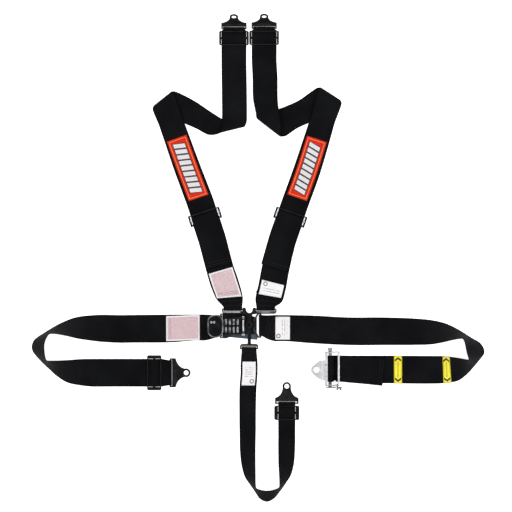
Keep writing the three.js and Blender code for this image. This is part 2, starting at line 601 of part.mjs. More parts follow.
function rivet(x, y) {
  const disc = (r, z0, z1) => rodZ(r, z0, z1, x, y, 12);
  return join(disc(1.9, 10.4, 22), disc(3.4, 20.8, 22.2), disc(3.4, 10.2, 11.6));
}

// A closed frame of round rod.
function rodLoop(corners, r) {
  const rods = corners.map((c, i) => rodBetween(c, corners[(i + 1) % corners.length], r));
  const knees = corners.map((c) => new THREE.SphereGeometry(r * 1.03, 14, 10).translate(...c));
  return join(...rods, ...knees);
}
add('link', rodLoop([[LINK.barX, 38], [LINK.barX, -28], [51, -28], [LINK.noseX, -7], [LINK.noseX, 18.5],
  [51, 38]].map(([x, y]) => V(x, y, LINK.z)), LINK.r), GLOSS_BLACK);

// Shoulder fitting: a slotted end plate whose finger drops onto the latch post.
function fitting(name, z, mirrored) {
  const plate = extrude(outline([[-50.5, 50], [-50.5, 41.5], [-47.5, 38], [-43, 37.2], [4, 37.2], [17.5, 35],
    [21, 26], [20.5, 6], [31.5, 6], [29.5, 28], [24, 38], [17.6, 45], [17, 51], [13.5, 54.6], [8.6, 54.6],
    [6.8, 50], [6.8, 45], [-46.9, 45], [-46.9, 50]]), z - PLATE / 2, z + PLATE / 2);
  const eye = rodZ(POST.eyeR, z - PLATE / 2, z + PLATE / 2, POST.x, POST.y);
  const whole = join(plate, eye, rodX(BAR_R, -50.5, 9, FIT.left.y, z));
  const body = cut(whole, rodZ(POST.r + 0.4, z - 5, z + 5, POST.x, POST.y));
  if (!mirrored) return add(name, body, GLOSS_BLACK);
  const flipped = solid(body).mirror([1, 0, 0]).translate([2 * POST.x, 0, 0]);
  return add(name, geometryOf(flipped), GLOSS_BLACK);
}
fitting('left_shoulder_fitting', FIT.left.z, false);
fitting('right_shoulder_fitting', FIT.right.z, true);

const { x: ringX, y: ringY, z: ringZ } = SUB_RING;
const ringPlate = extrude(outline([[-0.4, ringY], [-0.4, -52.4], [1, -49.4], [4, -47.2], [20.5, -47],
  [21.5, -44], [21.5, 6], [30.5, 6], [30.5, -44], [31.5, -47], [47, -47.2], [50, -49.4], [51.4, -52.4],
  [51.4, ringY], [47.4, ringY], [47.4, -55], [3.6, -55], [3.6, ringY]]),
ringZ - PLATE / 2, ringZ + PLATE / 2);
add('sub_fitting', cut(join(ringPlate, rodZ(POST.eyeR, ringZ - PLATE / 2, ringZ + PLATE / 2, POST.x, POST.y),
  rodX(BAR_R, -0.4, 51.4, ringY, ringZ)), rodZ(POST.r + 0.4, 0, 20, POST.x, POST.y)), GLOSS_BLACK);

// ---------------------------------------------------------------- ratchet
const SIDES = [[-71.3, -68.3], [-164, -161]];
const sidePlate = new THREE.Shape();
sidePlate.moveTo(241, 0.4);
sidePlate.lineTo(278, 0.4);
sidePlate.lineTo(280, 3);
sidePlate.lineTo(280, 24);
sidePlate.absarc(274, 24, 6, 0, Math.PI / 2);
sidePlate.lineTo(246, 30);
sidePlate.absarc(246, 21, 9, Math.PI / 2, Math.PI);
sidePlate.lineTo(237, 4);
const spoolBore = (r) => rodY(r, -180, -50, SPOOL.x, SPOOL.z);
const ringBore = rodY(3.6, -75, -65, 273.8, 20, 12);
const PAWL = { x: 272, z: 24 };
const ratchetBody = join(...SIDES.map(([a, b]) => upright(sidePlate, a, b)),
  box(237.5, 245, -163, -69.5, 28.2, 30), rodY(3, -163, -69.5, 276, 10.2, 12));
const barRivets = [-105, -137];
add('ratchet_frame', cut(ratchetBody, spoolBore(5.3), ringBore, rodY(2.1, -170, -155, PAWL.x, PAWL.z, 12),
  ...barRivets.map((y) => rodZ(2, 27, 31, 240.5, y, 12))), CHROME);
const roll = cut(rodY(SPOOL.rollR, SPOOL.y - 37, SPOOL.y + 37, SPOOL.x, SPOOL.z, 28), spoolBore(5.3));
add('ratchet_webbing_roll', roll, WEBBING);
add('ratchet_spool', spoolBoreShaft(), CHROME);
add('ratchet_wheel', ratchetWheel(), CHROME);
const driveHead = rodY(7, -66.5, -57, SPOOL.x, SPOOL.z, 6);
add('ratchet_drive_head', cut(driveHead, rodY(3.5, -60, -50, SPOOL.x, SPOOL.z, 4), spoolTip(0.35)), CHROME);

function spoolTip(extra) {
  return rodY(4 + extra, -70, -63 + extra, SPOOL.x, SPOOL.z, 6);
}
function spoolBoreShaft() {
  const shaft = rodY(5, -166, -67.5, SPOOL.x, SPOOL.z, 16);
  return join(shaft, spoolTip(0), rodY(4, -171, -165, SPOOL.x, SPOOL.z, 6));
}
function ratchetWheel() {
  const teeth = 12;
  const s = new THREE.Shape();
  for (let i = 0; i < teeth; i += 1) {
    const a = rad(360 * i / teeth);
    const b = rad(360 * (i + 0.25) / teeth);
    s[i ? 'lineTo' : 'moveTo'](13 * Math.cos(a), 13 * Math.sin(a));
    s.lineTo(10 * Math.cos(b), 10 * Math.sin(b));
  }
  const disc = upright(s, -170, -166.5).translate(SPOOL.x, 0, SPOOL.z);
  return cut(disc, rodY(4.35, -180, -160, SPOOL.x, SPOOL.z, 6));
}

// pawl on the outside of the lower side plate, with its knob, paddle, pivot screw and spring
const pawlArm = outline([[-4, -3.4], [2.5, -4.4], [4.4, 0], [2.5, 4.2], [-6, 3.6], [-9.2, 0.2]]);
const paddle = join(box(2, 12, -170, -166.5, -1.5, 1.5), box(5.9, 12, -177, -166.5, -1.5, 1.5));
add('ratchet_pawl', cut(join(upright(pawlArm, -170, -166.5), paddle).translate(PAWL.x, 0, PAWL.z),
  rodY(2.1, -180, -160, PAWL.x, PAWL.z, 12)), CHROME);
const pivotRod = (r, y0, y1) => rodY(r, y0, y1, PAWL.x, PAWL.z, 12);
add('pawl_pivot', join(pivotRod(1.8, -175, -158), pivotRod(3.6, -175.5, -173.4)), CHROME);
const [stalk, elbow, grip] = [V(269, -168.2, 28.8), V(269, -168.2, 33), V(265, -152.6, 33)];
const ball = (r, at, across, down) => new THREE.SphereGeometry(r, across, down).translate(...at);
add('ratchet_knob', join(rodBetween(stalk, elbow, 1.6, 10), rodBetween(elbow, grip, 1.6, 10),
  ball(1.65, elbow, 10, 6), ball(4.5, grip, 14, 10)), CHROME);
const coil = new THREE.TorusGeometry(3.2, 0.8, 8, 16).rotateX(Math.PI / 2).translate(PAWL.x, -172.2, PAWL.z);
const springLeg = rodBetween(V(PAWL.x, -172.2, PAWL.z + 3.4), V(290, -167, PAWL.z + 3.4), 0.8, 8);
add('pawl_spring', join(coil, springLeg), CHROME);
add('ratchet_ring', new THREE.TorusGeometry(6.5, 1.1, 8, 20).translate(278.6, -67, 20), CHROME);

// anchor bracket: an eye plate at the bottom, folded up and in under the frame's bar
const eyePlate = new THREE.Shape();
eyePlate.moveTo(233, -149.5);
eyePlate.lineTo(222, -147);
eyePlate.absarc(214.2, -120, 16, rad(-136), rad(-224), true);
eyePlate.lineTo(222, -94);
eyePlate.lineTo(233, -92.4);
const eyeHole = rodZ(7.3, 0, 10, 214.2, -120, 24);
const bracket = join(extrude(eyePlate, 3, 6.2, 6), box(230, 233, -149.5, -92.4, 3, 27.8),
  box(230, 243.5, -149.5, -92.4, 25.4, 27.8));
add('ratchet_anchor', cut(bracket, eyeHole, ...barRivets.map((y) => rodZ(2, 20, 31, 240.5, y, 12))), CHROME);
barRivets.forEach((y, i) => {
  add(`anchor_rivet_${i + 1}`, join(rodZ(1.7, 24, 31, 240.5, y, 12), rodZ(3, 30.4, 31.6, 240.5, y, 12),
    rodZ(2.6, 24.2, 25.1, 240.5, y, 12)), CHROME);
});

export default harness;
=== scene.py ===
"""Five-point racing harness: belts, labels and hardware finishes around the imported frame. Metres, +Z up."""
import json
import math

import bpy
import numpy as np
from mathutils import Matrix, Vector


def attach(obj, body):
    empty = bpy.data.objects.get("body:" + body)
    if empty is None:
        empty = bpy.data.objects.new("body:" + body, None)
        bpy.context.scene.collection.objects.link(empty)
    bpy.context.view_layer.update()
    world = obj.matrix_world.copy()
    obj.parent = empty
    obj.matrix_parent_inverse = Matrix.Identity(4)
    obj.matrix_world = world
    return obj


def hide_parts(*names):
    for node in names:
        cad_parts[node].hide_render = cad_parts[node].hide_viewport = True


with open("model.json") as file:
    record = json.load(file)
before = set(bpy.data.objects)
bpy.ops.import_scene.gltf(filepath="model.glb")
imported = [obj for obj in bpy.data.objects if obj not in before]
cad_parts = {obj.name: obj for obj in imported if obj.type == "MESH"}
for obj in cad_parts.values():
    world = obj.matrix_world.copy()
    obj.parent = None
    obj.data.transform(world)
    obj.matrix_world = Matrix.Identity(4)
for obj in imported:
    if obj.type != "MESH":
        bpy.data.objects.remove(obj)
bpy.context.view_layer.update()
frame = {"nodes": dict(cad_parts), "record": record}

MM = 0.001

# ---------------------------------------------------------------- belt routes, in millimetres
WEB = 2.0                       # webbing thickness
GAP = 0.45                      # air between layers
PLY = WEB + GAP                 # rise from one layer to the next
LOW = 1.15                      # middle of a layer that lies on the table
LAP_W = 78                      # belt widths
SHOULDER_W = 70
SUB_W = 48
BAR_R = 2.0                     # radius of a plain bar
WRAP = GAP + 0.05 + WEB / 2     # from a bar's surface to the middle of the webbing round it
LOOP_R = BAR_R + WRAP
BAR_Z = LOW + LOOP_R
CREST = 12.0                    # height of the webbing over a slide's middle bar
CREASE_INSET = 5                # how far a fold draws its edges in
FOLD_STEPS = 6                  # spans in the half turn of a fold
ADJ_BAR, ADJ_LOOP = 0.5, -13    # an adjuster's sliding bar and fixed bar, along the belt
LINK_BAR = (57.5, 7.9, 2.5)     # x, z and radius of the link's long bar
LINK_LOOP = LINK_BAR[2] + WRAP
SPOOL = (252, -116.5, 15.6)     # middle of the spool
SPOOL_HALF = 36.6               # half the width of the webbing on the spool
SUB_RING = (25.5, -60, 6.9)     # middle of the crotch fitting's bar


def vec(*p):
    """A point from two or three coordinates."""
    return np.array([*p, 0.0][:3], float)


def edges(left, right):
    """A station: the left and the right edge of the belt there."""
    return vec(*left), vec(*right)


def flat(x, y, heading, z, width):
    """A level station at a place and heading."""
    a = math.radians(heading)
    side = vec(-math.sin(a), math.cos(a)) * width / 2
    return vec(x, y, z) + side, vec(x, y, z) - side


def standing(width, rows):
    """A loop that stands on its outer edge: plan places of the raised and of the lying edge."""
    out = []
    for raised_x, raised_y, lying_x, lying_y in rows:
        plan = min(math.hypot(raised_x - lying_x, raised_y - lying_y), width)
        raised = vec(raised_x, raised_y, LOW + math.sqrt(width ** 2 - plan ** 2))
        out.append((vec(lying_x, lying_y, LOW), raised))
    return out


def threaded(x, y, heading, rows, turned=1):
    """Stations from rows of (distance along, height, width), where a belt passes bars near (x, y)."""
    a = math.radians(heading)
    along = vec(math.cos(a), math.sin(a))
    left = vec(-math.sin(a), math.cos(a)) * turned
    out = []
    for d, z, w in rows:
        c = vec(x, y, z) + along * d
        out.append((c + left * w / 2, c - left * w / 2))
    return out


def folded(left, right, r, low, drift, goes_under):
    """Half a turn of radius r round a straight crease, where the edges draw in a little.
    Drift is how far the belt slides along the crease during the turn."""
    l0, r0 = vec(*left), vec(*right)
    ruling = (r0 - l0) / np.linalg.norm(r0 - l0)
    out = vec(-ruling[1], ruling[0]) * (1 if goes_under else -1)
    step = 180 / FOLD_STEPS
    rows = []
    for i in range(FOLD_STEPS + 1):
        turn = math.radians(90 - step * i if goes_under else -90 + step * i)
        shift = out * (r * math.cos(turn) - r - WEB / 2) + ruling * drift * (i / FOLD_STEPS - 0.5)
        shift[2] = low + r + r * math.sin(turn)
        inset = ruling * CREASE_INSET * math.cos(turn)
        rows.append((l0 + shift + inset, r0 + shift - inset))
    return rows


def arc(a, z, r, start, end, width, steps=4):
    """Rows round a bar whose middle is at distance a and height z, from one angle to another."""
    turns = [math.radians(start + (end - start) * i / steps) for i in range(steps + 1)]
    return [(a + r * math.cos(t), z + r * math.sin(t), width) for t in turns]


def anchor_end(reach, width, loop_width):
    """Rows where a belt rises over a slide, turns round the tab's bar at reach, and comes back under."""
    if reach < 35:      # the bar is close to the slide, so the belt climbs to it in fewer steps
        climb = [(reach - 5, 4.9), (reach - 2.5, 7.15)]
    else:
        climb = [(reach - 15, 4.3), (reach - 7, 6.1), (reach - 2.5, 7.2)]
    rise = [(16, 3.75), (11.5, 6.4), (6, 10.8)]
    over = [(-40, LOW + PLY), (-21, LOW + PLY), *((-a, z) for a, z in rise), (0, CREST), *rise[::-1],
            (20, LOW + PLY)]
    under = []
    for i, (a, z) in enumerate(over):
        p, q = over[max(i - 1, 0)], over[min(i + 1, len(over) - 1)]
        slope = math.hypot(q[0] - p[0], q[1] - p[1])
        under.append((a + PLY * (q[1] - p[1]) / slope, z - PLY * (q[0] - p[0]) / slope, width))
    rows = [(-64, LOW, width), (-52, 2.2, width)] + [(a, z, width) for a, z in over]
    rows += [(a, z, loop_width if i else (width + loop_width) / 2) for i, (a, z) in enumerate(climb)]
    rows += arc(reach, BAR_Z, LOOP_R, 90, -90, loop_width) + [(reach - 4, LOW, loop_width)]
    return rows + under[::-1]


def sewn_end(z, r, back, width, loop_width, settle):
    """Rows where a belt turns round a bar at height z and is sewn down on itself."""
    low = max(LOW, z - r)
    mid = (width + loop_width) / 2
    return [(-back, LOW, width), (-back * 0.5, (LOW + low) / 2, mid), (-6, low, loop_width),
            *arc(0, z, r, -90, 90, loop_width),
            (-6, z + r - 0.1, loop_width),
            (-back * 0.5, (z + r) * 0.5 + LOW * 0.5 + PLY * 0.62, mid),
            (-back, LOW + PLY, width), (-back - 12, 2.6, width), (-back - settle, LOW, width)]


def fitting_end(x, y, z, loop_width, lean):
    """Stations round a shoulder fitting's bar, whose first two lean sideways towards the belt."""
    rows = threaded(x, y, -90, [
        (-52, z - 6, 66), (-26, z - 4.6, 58), (-6, z - LOOP_R, loop_width),
        *arc(0, z, LOOP_R, -90, 90, loop_width), (-6, z + LOOP_R - 0.2, loop_width)], -1)
    for row, share in ((rows[0], 1.0), (rows[1], 0.5)):
        for point in row:
            point[0] += lean * share
    return rows


def leaning(rows, start, slope, reach):
    """Stations that drift towards -Y by slope, from start to either side of the latch, over a reach."""
    for row in rows:
        for point in row:
            point[1] -= slope * min(max(abs(point[0]) - start, 0), reach)
    return rows


LEFT_ADJUSTER = (-98, 308, 107.8)       # x, y and heading of the belt
RIGHT_ADJUSTER = (140.6, 307.2, 70.9)

# (distance along, height, width) of the upper belt over its adjuster's bar, and of the lower belt's end
ADJUSTER_PASS = [
    (-66, 3.7, LAP_W), (-59, 4.1, LAP_W), (-50, 5.6, LAP_W), (-40, 7.2, 77), (-22, 9.9, 77),
    (-13, 10.75, 76), (-5, 11.3, 76), (ADJ_BAR, 11.35, 76), (5, 8.9, 76), (7.8, 5.3, 76),
    (10.6, 2.3, 76), (14, LOW, 76), (22, LOW, 76), (40, LOW, 76)]
LOWER_END = [
    (-64, LOW, LAP_W), (-30, LOW, LAP_W), (-18, LOW, LAP_W),
    *arc(ADJ_LOOP, BAR_Z, LOOP_R, -90, 90, LAP_W),
    (-19, 7.6, LAP_W), (-30, 5.4, LAP_W), (-48, LOW + PLY, LAP_W)]


ROUTES = {
    "left_lap_webbing": [
        *leaning(threaded(-54, 3, 0, sewn_end(BAR_Z, LOOP_R, 44, 73, 60, 30)), 58, 0.12, 36),
        flat(-190, -4, 0, LOW, LAP_W), flat(-300, -5, 0, LOW, LAP_W),
        *standing(LAP_W, [
            (-336, -44.4, -336, 33.6), (-392, -40.6, -398, 34), (-448, -31.8, -459, 27),
            (-487, -22.4, -504, 9.6), (-518, -17, -532, -6.6), (-530.5, -18, -552, -19.2),
            (-538.2, -28, -566, -28), (-543, -40, -577.6, -38.8),
            (-545.2, -55, -582.6, -54), (-544.3, -68, -580, -67.6), (-542.4, -80, -571.4, -80),
            (-540.2, -88, -560, -92.4), (-536.6, -92.4, -547, -105.4), (-526, -93, -533, -118),
            (-508, -93, -514, -135.6), (-476, -91.4, -484, -155), (-440, -89.2, -440, -164.4),
            (-415, -89, -415, -166.9)]),
        flat(-360, -128, 180, LOW, LAP_W),
        *threaded(-240, -128, 0, anchor_end(45, LAP_W, 71), -1)],
    "right_lap_webbing": [
        *leaning(threaded(LINK_BAR[0], 5, 180, sewn_end(LINK_BAR[1], LINK_LOOP, 40, 73.5, 59.6, 30), -1),
                 58, 0.29, 28),
        flat(200, -6.5, 0, LOW, LAP_W), flat(308, -11.9, 0, LOW, LAP_W),
        *standing(LAP_W, [
            (392, -50.8, 392, 27.2), (481.6, -49.8, 481.6, 24.4), (532, -47.9, 537.6, 19),
            (565, -41.7, 574, 10.6), (592, -34.5, 604, -3.4), (610, -31.3, 623, -14.3),
            (619.4, -31.2, 638, -23.8), (624.4, -38.6, 653, -33.2), (628, -50, 671, -43.6),
            (630.6, -62, 682.2, -59.6), (633, -73, 683.7, -73.2), (635.6, -82.4, 674.4, -87),
            (636.2, -89.4, 657.6, -107), (626, -88.4, 638.6, -128.6), (604, -84.8, 613, -149.4),
            (570, -81.2, 574, -157), (537.6, -80.9, 537.6, -158.8)]),
        flat(430, -119, 180, LOW, LAP_W), flat(320, -118, 180, LOW, 76), flat(290, -116.8, 180, LOW, 74),
        flat(262, -116.6, 180, 1.7, 74), flat(247, -116.5, 180, 2.15, 74)],
    "ratchet_tail_webbing": [
        flat(265.5, SPOOL[1], 0, 6.6, 74), flat(272, SPOOL[1], 0, 4.7, 74), flat(282, SPOOL[1], 0, 3.9, 74),
        flat(300, -117.8, 0, LOW + PLY, 75), flat(350, -121.4, -3, LOW + PLY, 76.5),
        flat(402, -126, -5, LOW + PLY, LAP_W)],
    "sub_webbing": [
        *threaded(SUB_RING[0], SUB_RING[1], 90, sewn_end(SUB_RING[2], LOOP_R, 44, SUB_W, 42, 26)),
        flat(22.5, -170, 90, LOW, SUB_W),
        *standing(SUB_W, [
            (44.5, -240.8, -1.8, -240.8), (44, -300, -1, -300), (43, -344.4, -0.1, -344.4),
            (43.1, -386.4, 4.4, -386.4), (43.3, -420, 14.2, -420), (43.6, -438, 26.4, -438.4),
            (45.4, -448.8, 36.8, -453), (53, -452.8, 46, -466.6), (62, -455.4, 55.5, -480),
            (74.6, -456.9, 75, -488.7), (89, -454.9, 95.2, -479.8), (101, -451.2, 107, -466),
            (109.6, -446.8, 117.6, -451.8), (111, -436, 129.8, -434.2), (109.8, -416, 142.4, -414.2),
            (107.6, -380, 151.2, -381), (106.8, -330, 154.6, -330)]),
        *threaded(130.9, -240.2, 90, anchor_end(27, SUB_W, SUB_W), -1)],
    "left_shoulder_webbing": [
        flat(-58, 170, 104, LOW + PLY, 77),
        *threaded(*LEFT_ADJUSTER, ADJUSTER_PASS),
        flat(-150, 452, 109.8, LOW, 74), flat(-181.2, 540, 109.8, LOW, 71), flat(-194.5, 577, 109.8, 5.5, 70),
        *folded((-246.4, 616), (-187.6, 662.8), 4.5, LOW, 4.9, True),
        edges((-161.6, 572.6, LOW), (-127, 633, LOW)), edges((-120, 554, LOW), (-84, 604, 7)),
        edges((-88, 538, 1.6), (-47, 581, 16)), edges((-66, 539, 7), (-14, 570, 20)),
        edges((-57, 544.5, 17), (11, 560, 25)), edges((-52, 556, 28.5), (19, 574, 32)),
        edges((-50.4, 580, 32), (19.6, 594, 32)),
        flat(-15.6, 640, 90, 26, SHOULDER_W), flat(-16.5, 700, 90, 10, SHOULDER_W),
        *threaded(-17, 808.5, 90, anchor_end(27, SHOULDER_W, 61))],
    "right_shoulder_webbing": [
        flat(95.8, 165.3, 72.6, LOW + PLY, 77),
        *threaded(*RIGHT_ADJUSTER, ADJUSTER_PASS),
        flat(188, 440, 71.6, LOW, 76), flat(221, 545, 72, LOW, 72), flat(231, 578, 72, 5.5, 70),
        *folded((221.8, 673.7), (285.6, 632.8), 4.5, LOW, -4.9, True),
        edges((163, 634, LOW), (201, 575.7, LOW)), edges((125, 617, LOW), (160, 556, LOW)),
        *folded((43.1, 586), (115.1, 530), 9, LOW, -13, False),
        edges((36.5, 640, 15), (106, 632, 15)), flat(70, 700, 90, 6, SHOULDER_W),
        *threaded(67.6, 809.5, 90, anchor_end(27, SHOULDER_W, 61))],
    "left_lower_webbing": [
        *fitting_end(-20, 50, 14, 52.5, -9),
        edges((-66, 78, 15), (8, 83, 15)), edges((-82, 114, 10), (-5, 134, 10)),
        flat(-56, 163, 106.5, LOW, LAP_W),
        *threaded(*LEFT_ADJUSTER, LOWER_END)],
    "right_lower_webbing": [
        *fitting_end(72, 50, 17.6, 52.5, 6),
        edges((43, 80, 17), (117, 70, 17)), edges((52, 122, 11), (128, 104, 11)),
        flat(99.5, 163, 74, LOW, LAP_W),
        *threaded(*RIGHT_ADJUSTER, LOWER_END)],
}


def wound(turns=2.1, inner=6.4, outer=10.9, steps=56):
    """Stations of the webbing wound on the ratchet's spool, from the spool outwards."""
    rows = []
    for k in range(steps + 1):
        turn = 2 * math.pi * turns * k / steps
        radius = inner + (outer - inner) * k / steps
        x, z = SPOOL[0] + radius * math.cos(turn), SPOOL[2] + radius * math.sin(turn)
        rows.append(edges((x, SPOOL[1] - SPOOL_HALF, z), (x, SPOOL[1] + SPOOL_HALF, z)))
    return rows


ROUTES["ratchet_webbing_roll"] = wound()

BODY_OF = {"left_shoulder_webbing": "left_shoulder", "left_lower_webbing": "left_shoulder",
           "right_shoulder_webbing": "right_shoulder", "right_lower_webbing": "right_shoulder",
           "sub_webbing": "sub", "ratchet_webbing_roll": "spool"}


def curve(points, ts):
    """Centripetal Catmull-Rom through the points, at parameters ts from 0 to len(points) - 1."""
    p = np.vstack([2 * points[0] - points[1], points, 2 * points[-1] - points[-2]])
    i = np.clip(np.floor(ts).astype(int), 0, len(points) - 2)
    w = (ts - i)[:, None]
    p0, p1, p2, p3 = (p[i + k] for k in range(4))
    dt1 = np.maximum(np.linalg.norm(p2 - p1, axis=1), 1e-9)[:, None] ** 0.5
    dt0 = np.linalg.norm(p1 - p0, axis=1)[:, None] ** 0.5
    dt2 = np.linalg.norm(p3 - p2, axis=1)[:, None] ** 0.5
    dt0, dt2 = np.where(dt0 < 1e-4, dt1, dt0), np.where(dt2 < 1e-4, dt1, dt2)
    t1 = ((p1 - p0) / dt0 - (p2 - p0) / (dt0 + dt1) + (p2 - p1) / dt1) * dt1
    t2 = ((p2 - p1) / dt1 - (p3 - p1) / (dt1 + dt2) + (p3 - p2) / dt2) * dt1
    return p1 + w * (t1 + w * ((-3 * p1 + 3 * p2 - 2 * t1 - t2) + w * (2 * p1 - 2 * p2 + t1 + t2)))


FADE = 90                       # distance over which a belt's wave fades out towards its ends


def step_lengths(points):
    return np.linalg.norm(np.diff(points, axis=0), axis=1)


class Belt:
    """A smooth strip: left and right edges, face normals and the distance along, in millimetres."""

    def __init__(self, stations, sag, seed, step=4.0):
        left = np.array([s[0] for s in stations])
        right = np.array([s[1] for s in stations])
        spans = np.maximum(step_lengths(left), step_lengths(right))
        ts = []
        for i, span in enumerate(spans):
            n = max(2, math.ceil(span / step))
            ts += [i + k / n for k in range(n)]
        ts = np.array(ts + [len(stations) - 1.0])
        self.left, self.right = curve(left, ts), curve(right, ts)
        for side in (self.left, self.right):
            side[:, 2] = np.maximum(side[:, 2], LOW)
        self.width = np.linalg.norm(self.left - self.right, axis=1)
        mid = (self.left + self.right) / 2
        self.run = np.concatenate([[0], np.cumsum(step_lengths(mid))])
        heading = np.gradient(mid, axis=0)
        self.normal = np.cross(heading, self.left - self.right)
        self.normal /= np.linalg.norm(self.normal, axis=1)[:, None]
        self.sag, self.seed = sag, seed

    @property
    def length(self):
        return float(self.run[-1])

    def at(self, d, s, lift):
        """Points at distance d along, s from the middle to the left, and lift off the middle of the layer.
        A slow wave of height sag, which fades out at both ends, keeps the cloth from lying dead flat."""
        d, s, lift = np.broadcast_arrays(np.asarray(d, float), np.asarray(s, float), np.asarray(lift, float))

        def pick(rows):
            return np.stack([np.interp(d, self.run, rows[:, k]) for k in range(3)], axis=-1)

        left, right, normal = pick(self.left), pick(self.right), pick(self.normal)
        across = (left - right) / np.linalg.norm(left - right, axis=-1)[..., None]
        normal /= np.linalg.norm(normal, axis=-1)[..., None]
        ends = np.clip(np.minimum(d, self.length - d) / FADE, 0, 1)
        slow = np.sin(d / 23 + self.seed) * np.cos(s / 31 + d / 57)
        quick = np.sin(d / 11.3 + 2.1 * self.seed + s / 19)
        height = lift + self.sag * ends * (slow + 0.6 * quick)
        return (left + right) / 2 + across * s[..., None] + normal * height[..., None]

    def nearest(self, x, y):
        """Distance along at which the middle passes closest to (x, y), on the upper of two layers."""
        mid = (self.left + self.right) / 2
        away = np.hypot(mid[:, 0] - x, mid[:, 1] - y) - np.minimum(mid[:, 2], 4) / 2
        return float(self.run[int(np.argmin(away))])

    def up(self, d):
        """+1 where the normal at d points up, else -1."""
        return 1.0 if np.interp(d, self.run, self.normal[:, 2]) > 0 else -1.0


def mesh_object(name, points, faces, smooth=True):
    """A mesh piece from points in millimetres."""
    mesh = bpy.data.meshes.new(name)
    mesh.from_pydata([tuple(p) for p in np.asarray(points) * MM], [], faces)
    mesh.polygons.foreach_set("use_smooth", [smooth] * len(mesh.polygons))
    mesh.validate()
    obj = bpy.data.objects.new(name, mesh)
    bpy.context.scene.collection.objects.link(obj)
    return obj


def strap_map(mesh, places):
    """UV map Strap from one pair of coordinates per vertex."""
    uv = mesh.uv_layers.new(name="Strap")
    index = np.zeros(len(mesh.loops), int)
    mesh.loops.foreach_get("vertex_index", index)
    uv.data.foreach_set("uv", places[index].ravel())


COLUMNS = 13                    # points across each face of a strip


def sheathe(name, belt, d, width, thickness, base_lift, round_edge=0.55):
    """A closed strip that follows a belt: rows at distances d, of a width (a number or one per row).
    UV map Strap holds (across, along) in metres; attribute edge_mm is the distance from the nearer edge."""
    d = np.asarray(d, float)
    width = np.broadcast_to(np.asarray(width, float), d.shape)
    t, e = thickness / 2, min(round_edge, thickness * 0.45)
    inner = np.linspace(-0.5, 0.5, COLUMNS)[1:-1]
    corner, side, turn = e, 0.25 * e, t - 0.55 * e
    ring = [(-0.5, corner, t), *((f, 0, t) for f in inner), (0.5, corner, t), (0.5, side, turn),
            (0.5, side, -turn), (0.5, corner, -t), *((f, 0, -t) for f in inner[::-1]), (-0.5, corner, -t),
            (-0.5, side, -turn), (-0.5, side, turn)]
    share, inset, height = np.array(ring).T
    s = share[None, :] * width[:, None]
    s = np.sign(s) * np.maximum(np.abs(s) - inset[None, :], 0)
    lift = base_lift + np.broadcast_to(height, s.shape)
    points = belt.at(d[:, None], s, lift).reshape(-1, 3)
    n, rows = len(ring), len(d)
    faces = []
    for i in range(rows - 1):
        for k in range(n):
            a, b = i * n + k, i * n + (k + 1) % n
            faces.append((a, b, b + n, a + n))
    faces.append(tuple(range(n))[::-1])
    faces.append(tuple((rows - 1) * n + k for k in range(n)))
    obj = mesh_object(name, points, faces)
    strap_map(obj.data, np.stack([s.ravel(), np.repeat(d, n)], axis=1) * MM)
    edge = obj.data.attributes.new("edge_mm", "FLOAT", "POINT")
    edge.data.foreach_set("value", (width[:, None] / 2 - np.abs(s)).ravel())
    return obj


